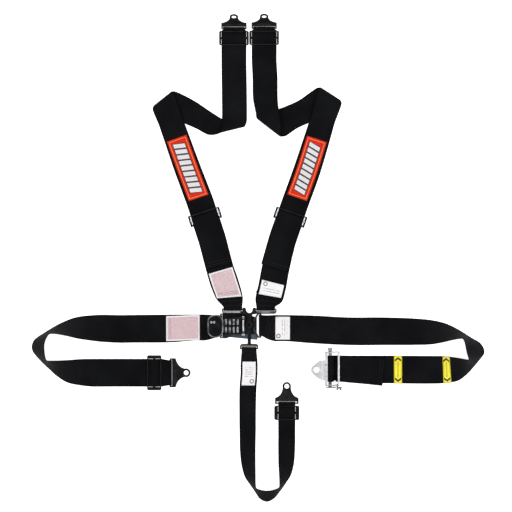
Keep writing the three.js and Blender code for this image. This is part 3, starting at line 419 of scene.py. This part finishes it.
# ---------------------------------------------------------------- materials
class Shader:
    """Node material with a Principled shader and short calls for its pattern maths."""

    def __init__(self, name, **values):
        self.material = bpy.data.materials.new(name)
        self.material.use_nodes = True
        self.tree = self.material.node_tree
        self.bsdf = self.tree.nodes["Principled BSDF"]
        for key, value in values.items():
            self.bsdf.inputs[key.replace("_", " ")].default_value = value
        self.material.diffuse_color = self.bsdf.inputs["Base Color"].default_value

    def put(self, socket, value):
        if isinstance(value, bpy.types.NodeSocket):
            self.tree.links.new(value, socket)
        else:
            socket.default_value = value

    def math(self, operation, a, b=0.0):
        node = self.tree.nodes.new("ShaderNodeMath")
        node.operation = operation
        for socket, value in zip(node.inputs, (a, b)):
            self.put(socket, value)
        return node.outputs[0]

    def product(self, first, *others):
        """All the values multiplied together."""
        for other in others:
            first = self.math("MULTIPLY", first, other)
        return first

    def waves(self, value, pitch):
        """A sine along value with the given pitch."""
        return self.math("SINE", self.math("MULTIPLY", value, 2 * math.pi / pitch))

    def zigzag(self, value, half_pitch):
        """Up from 0 to half_pitch and down again; the shift keeps the value positive."""
        return self.math("PINGPONG", self.math("ADD", value, 400.0), half_pitch)

    def band(self, value, low, high, fade):
        """1 from low to high and 0 outside, with a fade inside each end."""
        return self.product(self.ramp(value, low, low + fade), self.ramp(value, high - fade, high, 1.0, 0.0))

    def uv(self):
        """Across and along a strap, in millimetres."""
        node = self.tree.nodes.new("ShaderNodeUVMap")
        node.uv_map = "Strap"
        split = self.tree.nodes.new("ShaderNodeSeparateXYZ")
        self.put(split.inputs[0], node.outputs[0])
        return tuple(self.math("MULTIPLY", output, 1000) for output in split.outputs[:2])

    def attribute(self, name):
        node = self.tree.nodes.new("ShaderNodeAttribute")
        node.attribute_name = name
        return node.outputs["Fac"]

    def object_place(self):
        return self.tree.nodes.new("ShaderNodeTexCoord").outputs["Object"]

    def place(self):
        """The three object coordinates, in millimetres."""
        split = self.tree.nodes.new("ShaderNodeSeparateXYZ")
        self.put(split.inputs[0], self.object_place())
        return [self.math("MULTIPLY", output, 1000) for output in split.outputs]

    def noise(self, scale, detail):
        """Noise in object space; scale is in features per metre."""
        node = self.tree.nodes.new("ShaderNodeTexNoise")
        node.inputs["Scale"].default_value = scale
        node.inputs["Detail"].default_value = detail
        self.put(node.inputs["Vector"], self.object_place())
        return node.outputs["Fac"]

    def ramp(self, value, low, high, out_low=0.0, out_high=1.0):
        """A smooth step from out_low at low to out_high at high."""
        node = self.tree.nodes.new("ShaderNodeMapRange")
        node.interpolation_type = "SMOOTHSTEP"
        for socket, v in zip(node.inputs[:5], (value, low, high, out_low, out_high)):
            self.put(socket, v)
        return node.outputs[0]

    def mix(self, factor, a, b):
        node = self.tree.nodes.new("ShaderNodeMix")
        node.data_type = "RGBA"
        self.put(node.inputs["Factor"], factor)
        for socket, value in ((node.inputs[6], a), (node.inputs[7], b)):
            self.put(socket, value)
        return node.outputs[2]

    def colour(self, value):
        self.put(self.bsdf.inputs["Base Color"], value)

    def rough(self, value):
        self.put(self.bsdf.inputs["Roughness"], value)

    def bump(self, height, strength, distance):
        node = self.tree.nodes.new("ShaderNodeBump")
        node.inputs["Strength"].default_value = strength
        node.inputs["Distance"].default_value = distance
        self.put(node.inputs["Height"], height)
        self.put(self.bsdf.inputs["Normal"], node.outputs[0])


def rgb(r, g, b):
    return (r, g, b, 1.0)


def webbing_material():
    """Black herringbone webbing with a plain selvedge and a groove beside it."""
    m = Shader("webbing", Base_Color=rgb(0.008, 0.008, 0.0095), Roughness=0.75, Specular_IOR_Level=0.035)
    u, v = m.uv()
    panel, rib_pitch, warp_pitch = 4.6, 1.9, 1.15
    slant = m.math("ADD", v, m.product(m.zigzag(u, panel), 0.9))
    rib, warp = m.waves(slant, rib_pitch), m.waves(u, warp_pitch)
    weave = m.math("ADD", m.product(rib, 0.6), m.product(warp, 0.4))
    edge = m.attribute("edge_mm")
    selvedge = m.ramp(edge, 1.8, 3.4)
    groove = m.product(m.ramp(edge, 2.6, 3.2), m.ramp(edge, 3.8, 4.6, 1.0, 0.0))
    cloud, broad = m.noise(16, 3), m.noise(5, 2)
    tone = m.product(m.ramp(weave, -1, 1, 0.8, 1.2), m.ramp(cloud, 0.3, 0.7, 0.84, 1.16),
                     m.ramp(broad, 0.35, 0.65, 0.88, 1.12))
    body = m.mix(m.ramp(tone, 0.5, 1.5), rgb(0.0026, 0.0027, 0.0032), rgb(0.0082, 0.0085, 0.0098))
    m.colour(m.mix(selvedge, rgb(0.0020, 0.0021, 0.0030), body))
    m.rough(m.ramp(weave, -1, 1, 0.82, 0.66))
    m.bump(m.math("SUBTRACT", weave, m.product(groove, 1.8)), 0.6, 0.0003)
    return m.material


FINE_GRAIN, SOFT_GRAIN = (900, 2), (260, 1)     # features per metre and detail of a surface's grain


def hardware_shader(name, dark, light, rough, grain, strength, **values):
    """Painted or plated metal: cloudy tone, roughness that varies with it, and a surface grain."""
    m = Shader(name, Base_Color=light, Roughness=rough[0], **values)
    cloud = m.noise(60, 4)
    m.painted = m.mix(m.ramp(cloud, 0.35, 0.7), dark, light)
    m.colour(m.painted)
    m.rough(m.ramp(cloud, 0.3, 0.75, *rough))
    m.bump(m.noise(*grain), strength, 0.0002)
    return m


def black_paint(name):
    return hardware_shader(name, rgb(0.0045, 0.0045, 0.005), rgb(0.010, 0.010, 0.0115), (0.16, 0.3),
                           FINE_GRAIN, 0.2, Specular_IOR_Level=0.5, Coat_Weight=0.35, Coat_Roughness=0.1)


def satin_paint(name):
    return hardware_shader(name, rgb(0.0035, 0.0035, 0.004), rgb(0.008, 0.008, 0.0092), (0.36, 0.5),
                           FINE_GRAIN, 0.2, Specular_IOR_Level=0.28)


def bare_steel(name):
    return hardware_shader(name, rgb(0.10, 0.10, 0.13), rgb(0.42, 0.42, 0.48), (0.3, 0.42),
                           SOFT_GRAIN, 0.03, Metallic=0.45)


def bright_plate(name):
    return hardware_shader(name, rgb(0.86, 0.87, 0.90), rgb(0.93, 0.93, 0.96), (0.3, 0.4),
                           SOFT_GRAIN, 0.03, Metallic=0.4)


def chrome(name):
    return hardware_shader(name, rgb(0.74, 0.75, 0.78), rgb(0.90, 0.91, 0.93), (0.34, 0.46),
                           SOFT_GRAIN, 0.03, Metallic=1.0)


def painted_light_material(name, zones, bright, patches, paint=black_paint, least=0.25):
    """Paint with painted light in zones: a painted highlight or reflection where the zones, rows of (axis,
    low, high, fade) multiplied together, turn it to bright; painted shade where darker paint lies outside
    them.
    Patches is how fine the mottling of that painted light is, and least is how much of it shows between
    patches."""
    m = paint(name)
    xyz = m.place()
    mask = m.ramp(m.noise(patches, 2), 0.38, 0.6, least, 1.0)
    for axis, low, high, fade in zones:
        mask = m.product(mask, m.band(xyz[axis], low, high, fade))
    m.colour(m.mix(mask, m.painted, bright))
    return m.material


WEBBING = webbing_material()
BLACK = black_paint("black_hardware").material
SATIN = satin_paint("satin_black").material
PLATED = bright_plate("bright_plate").material
STEEL = bare_steel("ratchet_steel").material
CHROME = chrome("chrome_hardware").material
HARDWARE = {"black_hardware": BLACK, "chrome_hardware": CHROME}
X, Y, Z = 0, 1, 2
LIP_HIGHLIGHT = (Y, 40.0, 44.2, 0.6)      # the painted highlight along the front edge of both shoulder fittings
SPECIAL = {                     # hardware whose paint is duller or lighter, or carries painted highlights, painted reflection or painted shade in places
    # lever: the rib tops get a painted highlight
    "latch_lever": painted_light_material("lever_black", [(Z, 18.0, 30, 0.5)], rgb(0.36, 0.37, 0.38), 90),
    # handle: the raised rim gets a painted highlight
    "latch_handle": painted_light_material("handle_black", [(Z, 21.2, 30, 0.5)], rgb(0.30, 0.31, 0.33), 38),
    # base: a lighter blue-grey on its low part towards the sub fitting, a painted reflection
    "latch_base": painted_light_material("base_black", [(Z, -1, 5.6, 0.4), (Y, -60, -19, 2.5)],
                                rgb(0.075, 0.10, 0.125), 20),
    # shoulder fittings: a painted highlight along the front edge of each
    "left_shoulder_fitting": painted_light_material("left_fitting_black", [(X, -60, 2, 2), LIP_HIGHLIGHT],
                                           rgb(0.42, 0.43, 0.44), 30, satin_paint),
    "right_shoulder_fitting": painted_light_material("right_fitting_black", [(X, 46, 110, 2), LIP_HIGHLIGHT],
                                            rgb(0.30, 0.31, 0.32), 30, satin_paint),
    # sub fitting: a grey band of painted highlight across the plate
    "sub_fitting": painted_light_material("sub_fitting_black", [(Y, -54.5, -50, 0.6)], rgb(0.13, 0.13, 0.14), 40),
    # ratchet frame: white plate in the middle band, darker steel outside it at both ends as painted shade
    "ratchet_frame": painted_light_material("ratchet_frame_plate", [(Y, -162.5, -69.5, 0.8)], rgb(0.93, 0.93, 0.96),
                                   60, bare_steel, 0.9),
    **{node: PLATED for node in ("ratchet_anchor", "ratchet_ring")},
    **{node: STEEL for node in ("ratchet_drive_head", "ratchet_wheel", "ratchet_pawl", "pawl_spring",
                                "pawl_pivot", "ratchet_spool")},
    **{f"{belt}_{piece}": SATIN for belt in ("left_lap", "sub", "left_shoulder", "right_shoulder")
       for piece in ("slide", "tab")},
    **{f"{side}_adjuster_frame": SATIN for side in ("left", "right")},
}

# ---------------------------------------------------------------- belts
SAG = 0.22                      # height of the slow wave in a belt
belts, pieces = {}, {}
for number, (node, stations) in enumerate(ROUTES.items()):
    rolled = node == "ratchet_webbing_roll"
    belt = Belt(stations, sag=0.0 if rolled else SAG, seed=1.7 * number)
    name = node.replace("_webbing", "_belt").replace("belt_roll", "roll_belt")
    piece = sheathe(name, belt, belt.run, belt.width, WEB, 0.0)
    piece.data.materials.append(WEBBING)
    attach(piece, BODY_OF.get(node, "latch"))
    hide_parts(node)
    belts[node], pieces[node] = belt, piece

# ---------------------------------------------------------------- labels, patches and tags
LABELS = {  # name: belt, place, length, width, thickness, body
    "left_lap_label": ("left_lap_webbing", (-161.4, -2.8), 94, 70, 0.6, "latch"),
    "right_lap_label": ("right_lap_webbing", (120, -3), 41, 64, 0.6, "latch"),
    "sub_label": ("sub_webbing", (25.5, -129.5), 67, 37, 0.6, "sub"),
    "left_shoulder_label": ("left_lower_webbing", (-43.2, 121), 80, 69, 0.6, "left_shoulder"),
    "right_shoulder_label": ("right_lower_webbing", (86, 106), 39, 63.5, 0.6, "right_shoulder"),
    "left_shoulder_patch": ("left_shoulder_webbing", (-149.8, 444), 178, 58, 1.0, "left_shoulder"),
    "right_shoulder_patch": ("right_shoulder_webbing", (191, 442.4), 174, 58, 1.0, "right_shoulder"),
    "inner_warning_tag": ("right_lap_webbing", (444.4, -119), 22.4, 79, 0.6, "latch"),
    "outer_warning_tag": ("right_lap_webbing", (579, -119), 21.4, 79, 0.6, "latch"),
}


def cloth_weave(m, u, v, pitch=0.7):
    """A fine plain weave for the bump of printed cloth."""
    return m.product(m.waves(u, pitch), m.waves(v, pitch))


def label_shader(name, half_w, half_l, panel, border, rules, mark):
    """A printed label: a stippled panel in a border, faint ruled lines in a zone, and maybe a plain ring."""
    m = Shader(name, Base_Color=panel, Roughness=0.55, Sheen_Weight=0.1)
    u, v = m.uv()
    inset = m.math("MINIMUM", m.math("SUBTRACT", half_w, m.math("ABSOLUTE", u)),
                   m.math("SUBTRACT", half_l, m.math("ABSOLUTE", v)))
    cloud, stipple = m.noise(45, 3), m.noise(620, 1)
    tinted = m.mix(m.ramp(cloud, 0.3, 0.7), panel, rgb(*(c * 0.95 for c in panel[:3])))
    tinted = m.mix(m.ramp(stipple, 0.46, 0.66, 0.0, 0.6), tinted, border)
    colour = m.mix(m.ramp(inset, 3.4, 4.0), border, tinted)
    first, last, pitch = rules
    ink = m.product(m.ramp(m.zigzag(v, pitch / 2), 0.7, 1.1, 1.0, 0.0), m.ramp(inset, 7, 8),
                    m.band(v, first, last, 1), m.ramp(m.noise(230, 1), 0.42, 0.5, 0.15, 0.75))
    if mark:
        across, along = m.math("SUBTRACT", u, mark[0]), m.math("SUBTRACT", v, mark[1])
        radius = m.math("SQRT", m.math("ADD", m.product(across, across), m.product(along, along)))
        ring = m.product(m.ramp(radius, 3.4, 3.9), m.ramp(radius, 5.9, 6.4, 0.95, 0.0))
        ink = m.math("MAXIMUM", ink, ring)
    m.colour(m.mix(ink, colour, rgb(0.10, 0.10, 0.13)))
    m.bump(cloth_weave(m, u, v), 0.3, 0.0001)
    return m.material


WHITE = rgb(0.88, 0.86, 0.87)
PINK = rgb(0.60, 0.39, 0.42)
STYLE = {  # panel, border, ruled zone (from, to, pitch), ring mark (across, along)
    "left_lap_label": (PINK, WHITE, (33, 44, 4.0), None),
    "right_lap_label": (WHITE, WHITE, (-4, 14, 7.0), (-22, -12)),
    "sub_label": (WHITE, WHITE, (-22, 12, 6.0), (-9, 22)),
    "left_shoulder_label": (PINK, WHITE, (-36, -22, 5.0), None),
    "right_shoulder_label": (WHITE, WHITE, (-12, 4, 7.0), (20, 11)),
}


def patch_shader():
    """Red embroidery with slanted threads."""
    m = Shader("patch_red", Base_Color=rgb(0.74, 0.03, 0.01), Roughness=0.8, Specular_IOR_Level=0.15)
    u, v = m.uv()
    thread = m.waves(m.math("ADD", u, m.product(v, 0.18)), 0.8)
    worn = m.math("ADD", thread, m.product(m.noise(70, 3), 2))
    m.colour(m.mix(m.ramp(worn, -1, 3), rgb(0.56, 0.014, 0.005), rgb(0.86, 0.036, 0.010)))
    m.bump(thread, 0.5, 0.00025)
    return m.material


def thread_shader(name, colour, dark):
    """Embroidery thread laid across a raised bar."""
    m = Shader(name, Base_Color=colour, Roughness=0.7, Specular_IOR_Level=0.2)
    u, v = m.uv()
    thread = m.waves(m.math("ADD", v, m.product(u, 0.1)), 0.7)
    m.colour(m.mix(m.ramp(thread, -1, 0.4), dark, colour))
    m.bump(thread, 0.5, 0.0002)
    return m.material


def tag_shader():
    """Yellow tape with a black rim, a chevron at each end and a dashed line between them."""
    m = Shader("tag_yellow", Base_Color=rgb(0.93, 0.80, 0.02), Roughness=0.5)
    u, v = m.uv()
    away, along = m.math("ABSOLUTE", u), m.math("ABSOLUTE", v)
    point = m.math("ADD", away, m.product(along, 0.8))
    chevron = m.product(m.band(point, 28.6, 35.4, 0.6), m.ramp(along, 8.6, 9.1, 1.0, 0.0))
    rim = m.band(away, 37.4, 38.8, 0.4)
    line = m.product(m.ramp(along, 1.6, 2.0, 1.0, 0.0), m.ramp(away, 22, 23, 1.0, 0.0),
                     m.ramp(m.zigzag(u, 1.7), 0.5, 0.9), 0.8)
    base = m.mix(m.ramp(m.noise(60, 3), 0.3, 0.7), rgb(0.96, 0.86, 0.03), rgb(0.88, 0.76, 0.02))
    base = m.mix(line, base, rgb(0.16, 0.14, 0.03))
    m.colour(m.mix(m.math("MAXIMUM", chevron, rim), base, rgb(0.02, 0.02, 0.02)))
    m.bump(cloth_weave(m, u, v), 0.3, 0.0001)
    return m.material


PATCH_RED = patch_shader()
PATCH_ORANGE = thread_shader("patch_orange", rgb(1.0, 0.42, 0.14), rgb(0.92, 0.26, 0.07))
PATCH_WHITE = thread_shader("patch_white", rgb(0.86, 0.86, 0.86), rgb(0.6, 0.6, 0.62))
PATCH_BLUE = thread_shader("patch_blue", rgb(0.03, 0.035, 0.06), rgb(0.015, 0.018, 0.03))
TAG_YELLOW = tag_shader()
SHEET_LIFT = WEB / 2 + 0.3      # underside of a label above the middle of its webbing


class Placed:
    """A window on a belt whose distance along is counted from its centre, and whose lift goes upwards."""

    def __init__(self, belt, centre):
        self.belt, self.centre, self.way = belt, centre, belt.up(centre)

    def at(self, d, s, lift):
        return self.belt.at(np.asarray(d) + self.centre, s, np.asarray(lift) * self.way)


def overlay(name, on, body, slot, material, half_w, half_l, thickness, lift):
    """A thin closed sheet on a placed window, turned so that its faces point out."""
    d = np.linspace(-half_l, half_l, max(2, int(half_l / 2)))
    piece = sheathe(name, on, d, half_w * 2, thickness, lift + thickness / 2, round_edge=0.25)
    if on.way < 0:
        piece.data.flip_normals()
    piece.data.materials.append(material)
    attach(piece, body)
    return piece


def bar(on, d0, d1, s0, s1, slant, thickness, lift, points, faces):
    """Adds a raised slanted bar to points and faces: from d0 to d1 along, s0 to s1 across."""
    steps, bevel, half = 8, 0.5, (d1 - d0) / 2
    profile = ((-half, 0.0), (bevel - half, thickness), (half - bevel, thickness), (half, 0.0))
    start = len(points)
    for i in range(steps + 1):
        s = s0 + (s1 - s0) * i / steps
        c = (d0 + d1) / 2 + slant * (i / steps - 0.5)
        points += [on.at(c + d, s, lift + h) for d, h in profile]
    for i in range(steps):
        for k in range(4):
            a, b = start + 4 * i + k, start + 4 * i + (k + 1) % 4
            faces.append((a, b, b + 4, a + 4))
    faces.append(tuple(start + k for k in range(4))[::-1])
    faces.append(tuple(start + 4 * steps + k for k in range(4)))


def bars_piece(name, on, rows, body, material, thickness, lift):
    """Raised bars on a patch, in one piece, from rows of (d0, d1, s0, s1, slant)."""
    points, faces = [], []
    for d0, d1, s0, s1, slant in rows:
        bar(on, d0, d1, s0, s1, slant, thickness, lift, points, faces)
    obj = mesh_object(name, np.array(points), faces, smooth=False)
    if on.way > 0:
        obj.data.flip_normals()
    places = np.zeros(len(obj.data.vertices) * 3)
    obj.data.vertices.foreach_get("co", places)
    strap_map(obj.data, places.reshape(-1, 3)[:, :2])
    obj.data.materials.append(material)
    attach(obj, body)
    return obj


STITCH_PITCH, STITCH_LENGTH, STITCH_WIDTH = 3.3, 2.3, 0.75
STITCH_BASE, STITCH_TOP = (-0.1, 1.0), (0.32, 0.62)     # height, and size there as a share of the stitch
BOX_FACES = ((3, 2, 1, 0), (4, 5, 6, 7), (0, 1, 5, 4), (1, 2, 6, 5), (2, 3, 7, 6), (3, 0, 4, 7))


def seam_piece(name, on, paths, body, slot, material, lift):
    """Lock stitches laid along paths of (along, across) points on a placed window."""
    places, faces = [], []
    for path in paths:
        for (d0, s0), (d1, s1) in zip(path[:-1], path[1:]):
            span = math.hypot(d1 - d0, s1 - s0)
            count = max(1, round(span / STITCH_PITCH))
            ud, us = (d1 - d0) / span, (s1 - s0) / span
            for k in range(count):
                start = len(places)
                for h, grow in (STITCH_BASE, STITCH_TOP):
                    for a, b in ((-1, -1), (1, -1), (1, 1), (-1, 1)):
                        run = (k + 0.5) / count * span + a * STITCH_LENGTH / 2 * grow
                        over = b * STITCH_WIDTH / 2 * grow
                        places.append((d0 + ud * run - us * over, s0 + us * run + ud * over, lift + h))
                faces += [tuple(start + i for i in face) for face in BOX_FACES]
    d, s, h = np.array(places).T
    obj = mesh_object(name, on.at(d, s, h), faces, smooth=False)
    if on.way < 0:
        obj.data.flip_normals()
    obj.data.materials.append(material)
    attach(obj, body)
    return obj


def stitch_shader(name, dark, light):
    """Twisted sewing thread."""
    m = Shader(name, Base_Color=light, Roughness=0.6, Sheen_Weight=0.1, Specular_IOR_Level=0.3)
    cloud = m.noise(700, 2)
    m.colour(m.mix(m.ramp(cloud, 0.35, 0.65), dark, light))
    m.bump(cloud, 0.4, 0.0002)
    return m.material


THREAD = {"label": stitch_shader("thread_white", rgb(0.62, 0.6, 0.62), rgb(0.85, 0.84, 0.85)),
          "patch": stitch_shader("thread_red", rgb(0.40, 0.012, 0.006), rgb(0.66, 0.03, 0.012)),
          "tag": stitch_shader("thread_black", rgb(0.01, 0.01, 0.011), rgb(0.025, 0.025, 0.028)),
          "webbing": stitch_shader("thread_grey", rgb(0.006, 0.006, 0.007), rgb(0.018, 0.018, 0.021))}

SEWN = [    # belt, place, half length and half width of the seam, and whether it is a box with a cross
    ("left_lap_webbing", (-84, 0), 9, 29, True), ("right_lap_webbing", (84, -3), 9, 29, True),
    ("sub_webbing", (25, -80), 11, 18, True), ("left_lower_webbing", (-24, 68), 7, 25, False),
    ("right_lower_webbing", (76, 66), 7, 25, False), ("left_shoulder_webbing", (-60.5, 180), 4, 34, False),
    ("right_shoulder_webbing", (98.5, 174), 4, 34, False),
    ("ratchet_tail_webbing", (394, -125.3), 4, 34, False),
]


def placed(belt_name, spot):
    """The window on a belt where its middle passes a spot."""
    belt = belts[belt_name]
    return Placed(belt, belt.nearest(*spot))


def sewn_paths(reach, half, boxed):
    """Two rows across the belt, or a closed box with a cross."""
    rows = [[(-reach, -half), (-reach, half)], [(reach, -half), (reach, half)]]
    if boxed:
        rows += [[(-reach, -half), (reach, -half)], [(-reach, half), (reach, half)],
                 [(-reach, -half), (reach, half)], [(-reach, half), (reach, -half)]]
    return rows


for number, (belt_name, spot, reach, half, boxed) in enumerate(SEWN):
    seam_piece(f"sewn_end_{number + 1}", placed(belt_name, spot), sewn_paths(reach, half, boxed),
               BODY_OF.get(belt_name, "latch"), "webbing", THREAD["webbing"], WEB / 2)

FRAME_INSET, FRAME_LINE, FRAME_SPANS = 4.4, 1.4, 28     # a patch's frame: from the edge, line width, spans
MARKS, MARK_HALF, MARK_MARGIN, MARK_RIM = 9, 16, 15, 2.1    # a patch's slanted bars: count and sizes


def patch_pieces(name, on, body, half_w, half_l, top):
    """A patch's frame, the dark rims of its bars, and the bars."""
    w_in, l_in = half_w - FRAME_INSET, half_l - FRAME_INSET
    frame_rows = [(-l_in, -l_in + FRAME_LINE, -w_in, w_in, 0), (l_in - FRAME_LINE, l_in, -w_in, w_in, 0)]
    runs = np.linspace(-l_in + FRAME_LINE, l_in - FRAME_LINE, FRAME_SPANS + 1)
    for a, b in zip(runs[:-1], runs[1:]):
        frame_rows += [(a, b, -w_in, -w_in + FRAME_LINE, 0), (a, b, w_in - FRAME_LINE, w_in, 0)]
    pitch = 2 * (half_l - MARK_MARGIN) / MARKS
    marks = []
    for k in range(MARKS):
        d = -half_l + MARK_MARGIN + pitch * (k + 0.5)
        marks.append((d - pitch * 0.36, d + pitch * 0.36, -MARK_HALF, MARK_HALF, pitch * 0.45))
    rims = [(d0 - MARK_RIM, d1 + MARK_RIM, s0 - MARK_RIM, s1 + MARK_RIM, slant)
            for d0, d1, s0, s1, slant in marks]
    return [bars_piece(name + "_inset", on, frame_rows, body, PATCH_ORANGE, 0.35, top),
            bars_piece(name + "_mark_rims", on, rims, body, PATCH_BLUE, 0.25, top),
            bars_piece(name + "_marks", on, marks, body, PATCH_WHITE, 0.3, top + 0.25)]


def hem_path(half_w, half_l, inset=1.6):
    """The closed rectangle that sews a label down."""
    w, l = half_w - inset, half_l - inset
    return [(-l, -w), (l, -w), (l, w), (-l, w), (-l, -w)]


for name, (belt_name, spot, length, width, thickness, body) in LABELS.items():
    on = placed(belt_name, spot)
    half_w, half_l = width / 2, length / 2
    if "patch" in name:
        slot, material = "patch", PATCH_RED
    elif "tag" in name:
        slot, material = "tag", TAG_YELLOW
    else:
        slot, material = "label", label_shader(name + "_print", half_w, half_l, *STYLE[name])
    sheet = overlay(name + "_cloth", on, body, slot, material, half_w, half_l, thickness, SHEET_LIFT)
    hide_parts(name)
    top = SHEET_LIFT + thickness
    extra = patch_pieces(name, on, body, half_w, half_l, top) if slot == "patch" else []
    hem = [hem_path(half_w, half_l)]
    extra.append(seam_piece(name + "_stitching", on, hem, body, slot, THREAD[slot], top))


# ---------------------------------------------------------------- hardware finishes
def finish_hardware(obj, material, bevel_width):
    """Paints a node, merges its flat facets and rounds its sharp edges."""
    obj.data.materials.clear()
    obj.data.materials.append(material)
    normals = obj.data.attributes.get("custom_normal")
    if normals:
        obj.data.attributes.remove(normals)
    obj.data.polygons.foreach_set("use_smooth", [True] * len(obj.data.polygons))
    weld = obj.modifiers.new("weld", "WELD")
    weld.merge_threshold = 1e-6
    planar = obj.modifiers.new("planar", "DECIMATE")
    planar.decimate_type = "DISSOLVE"
    planar.angle_limit = math.radians(1)
    bevel = obj.modifiers.new("bevel", "BEVEL")
    bevel.width = bevel_width * MM
    bevel.segments = 2
    bevel.limit_method = "ANGLE"
    bevel.angle_limit = math.radians(38)
    bevel.use_clamp_overlap = True
    bevel.harden_normals = True


BEVEL = {"black_hardware": 0.8, "chrome_hardware": 0.6}     # width of the rounded edges
slots = {p["node"]: p["material_slot"] for p in frame["record"]["subparts"]}
for node, obj in frame["nodes"].items():
    if slots[node] in HARDWARE:
        finish_hardware(obj, SPECIAL.get(node, HARDWARE[slots[node]]), BEVEL[slots[node]])

# ---------------------------------------------------------------- stage, light and camera
scene = bpy.context.scene
scene.view_settings.view_transform = "Standard"

FLOOR_HALF, FLOOR_Z = 4000, -0.6
floor_corners = [(x * FLOOR_HALF, y * FLOOR_HALF, FLOOR_Z) for x, y in ((-1, -1), (1, -1), (1, 1), (-1, 1))]
floor = mesh_object("floor", floor_corners, [(0, 1, 2, 3)], smooth=False)
paper = Shader("paper", Base_Color=rgb(0.93, 0.93, 0.93), Roughness=0.9, Emission_Color=rgb(1, 1, 1),
               Emission_Strength=0.9)
floor.data.materials.append(paper.material)

TENT_EDGE, TENT_DARK = 0.90, 0.965      # height of a direction where the opening starts and where it is dark
TENT_WHITE, TENT_BLACK = 0.85, 0.06     # brightness of the tent and of the opening


def tent_world():
    """A white tent with a dark opening overhead: gloss faces read dark and their edges catch light."""
    world = bpy.data.worlds.new("studio")
    world.use_nodes = True
    tree = world.node_tree
    background = tree.nodes["Background"]
    background.inputs["Color"].default_value = rgb(1, 1, 1)
    direction = tree.nodes.new("ShaderNodeTexCoord")
    height = tree.nodes.new("ShaderNodeSeparateXYZ")
    tent = tree.nodes.new("ShaderNodeMapRange")
    tent.interpolation_type = "SMOOTHSTEP"
    for socket, value in zip(tent.inputs[1:5], (TENT_EDGE, TENT_DARK, TENT_WHITE, TENT_BLACK)):
        socket.default_value = value
    tree.links.new(direction.outputs["Generated"], height.inputs[0])
    tree.links.new(height.outputs["Z"], tent.inputs[0])
    tree.links.new(tent.outputs[0], background.inputs["Strength"])
    return world


scene.world = tent_world()
AIM = (0, 0.2, 0)


def softbox(name, place, size, power):
    """A strip light aimed at the middle of the harness."""
    light = bpy.data.lights.new(name, "AREA")
    light.shape = "RECTANGLE"
    light.size, light.size_y = size
    light.energy = power
    obj = bpy.data.objects.new(name, light)
    obj.location = place
    obj.rotation_euler = (Vector(AIM) - Vector(place)).to_track_quat("-Z", "Y").to_euler()
    scene.collection.objects.link(obj)


softbox("key", (-1.2, 2.6, 2.6), (2.6, 0.5), 40)
softbox("side", (2.8, 0.2, 2.2), (2.4, 0.4), 22)
softbox("low", (-0.4, -2.6, 2.0), (2.4, 0.4), 16)

CAMERA_X, CAMERA_Y, FIELD = 0.0448, 0.1988, 1.4336   # middle of the view and its width
DISTANCE, SENSOR = 12.0, 36.0
camera_data = bpy.data.cameras.new("camera")
camera_data.sensor_width = SENSOR
camera_data.lens = SENSOR * DISTANCE / FIELD
camera_data.clip_end = 40
camera = bpy.data.objects.new("camera", camera_data)
camera.location = (CAMERA_X, CAMERA_Y, DISTANCE)
scene.collection.objects.link(camera)
scene.camera = camera
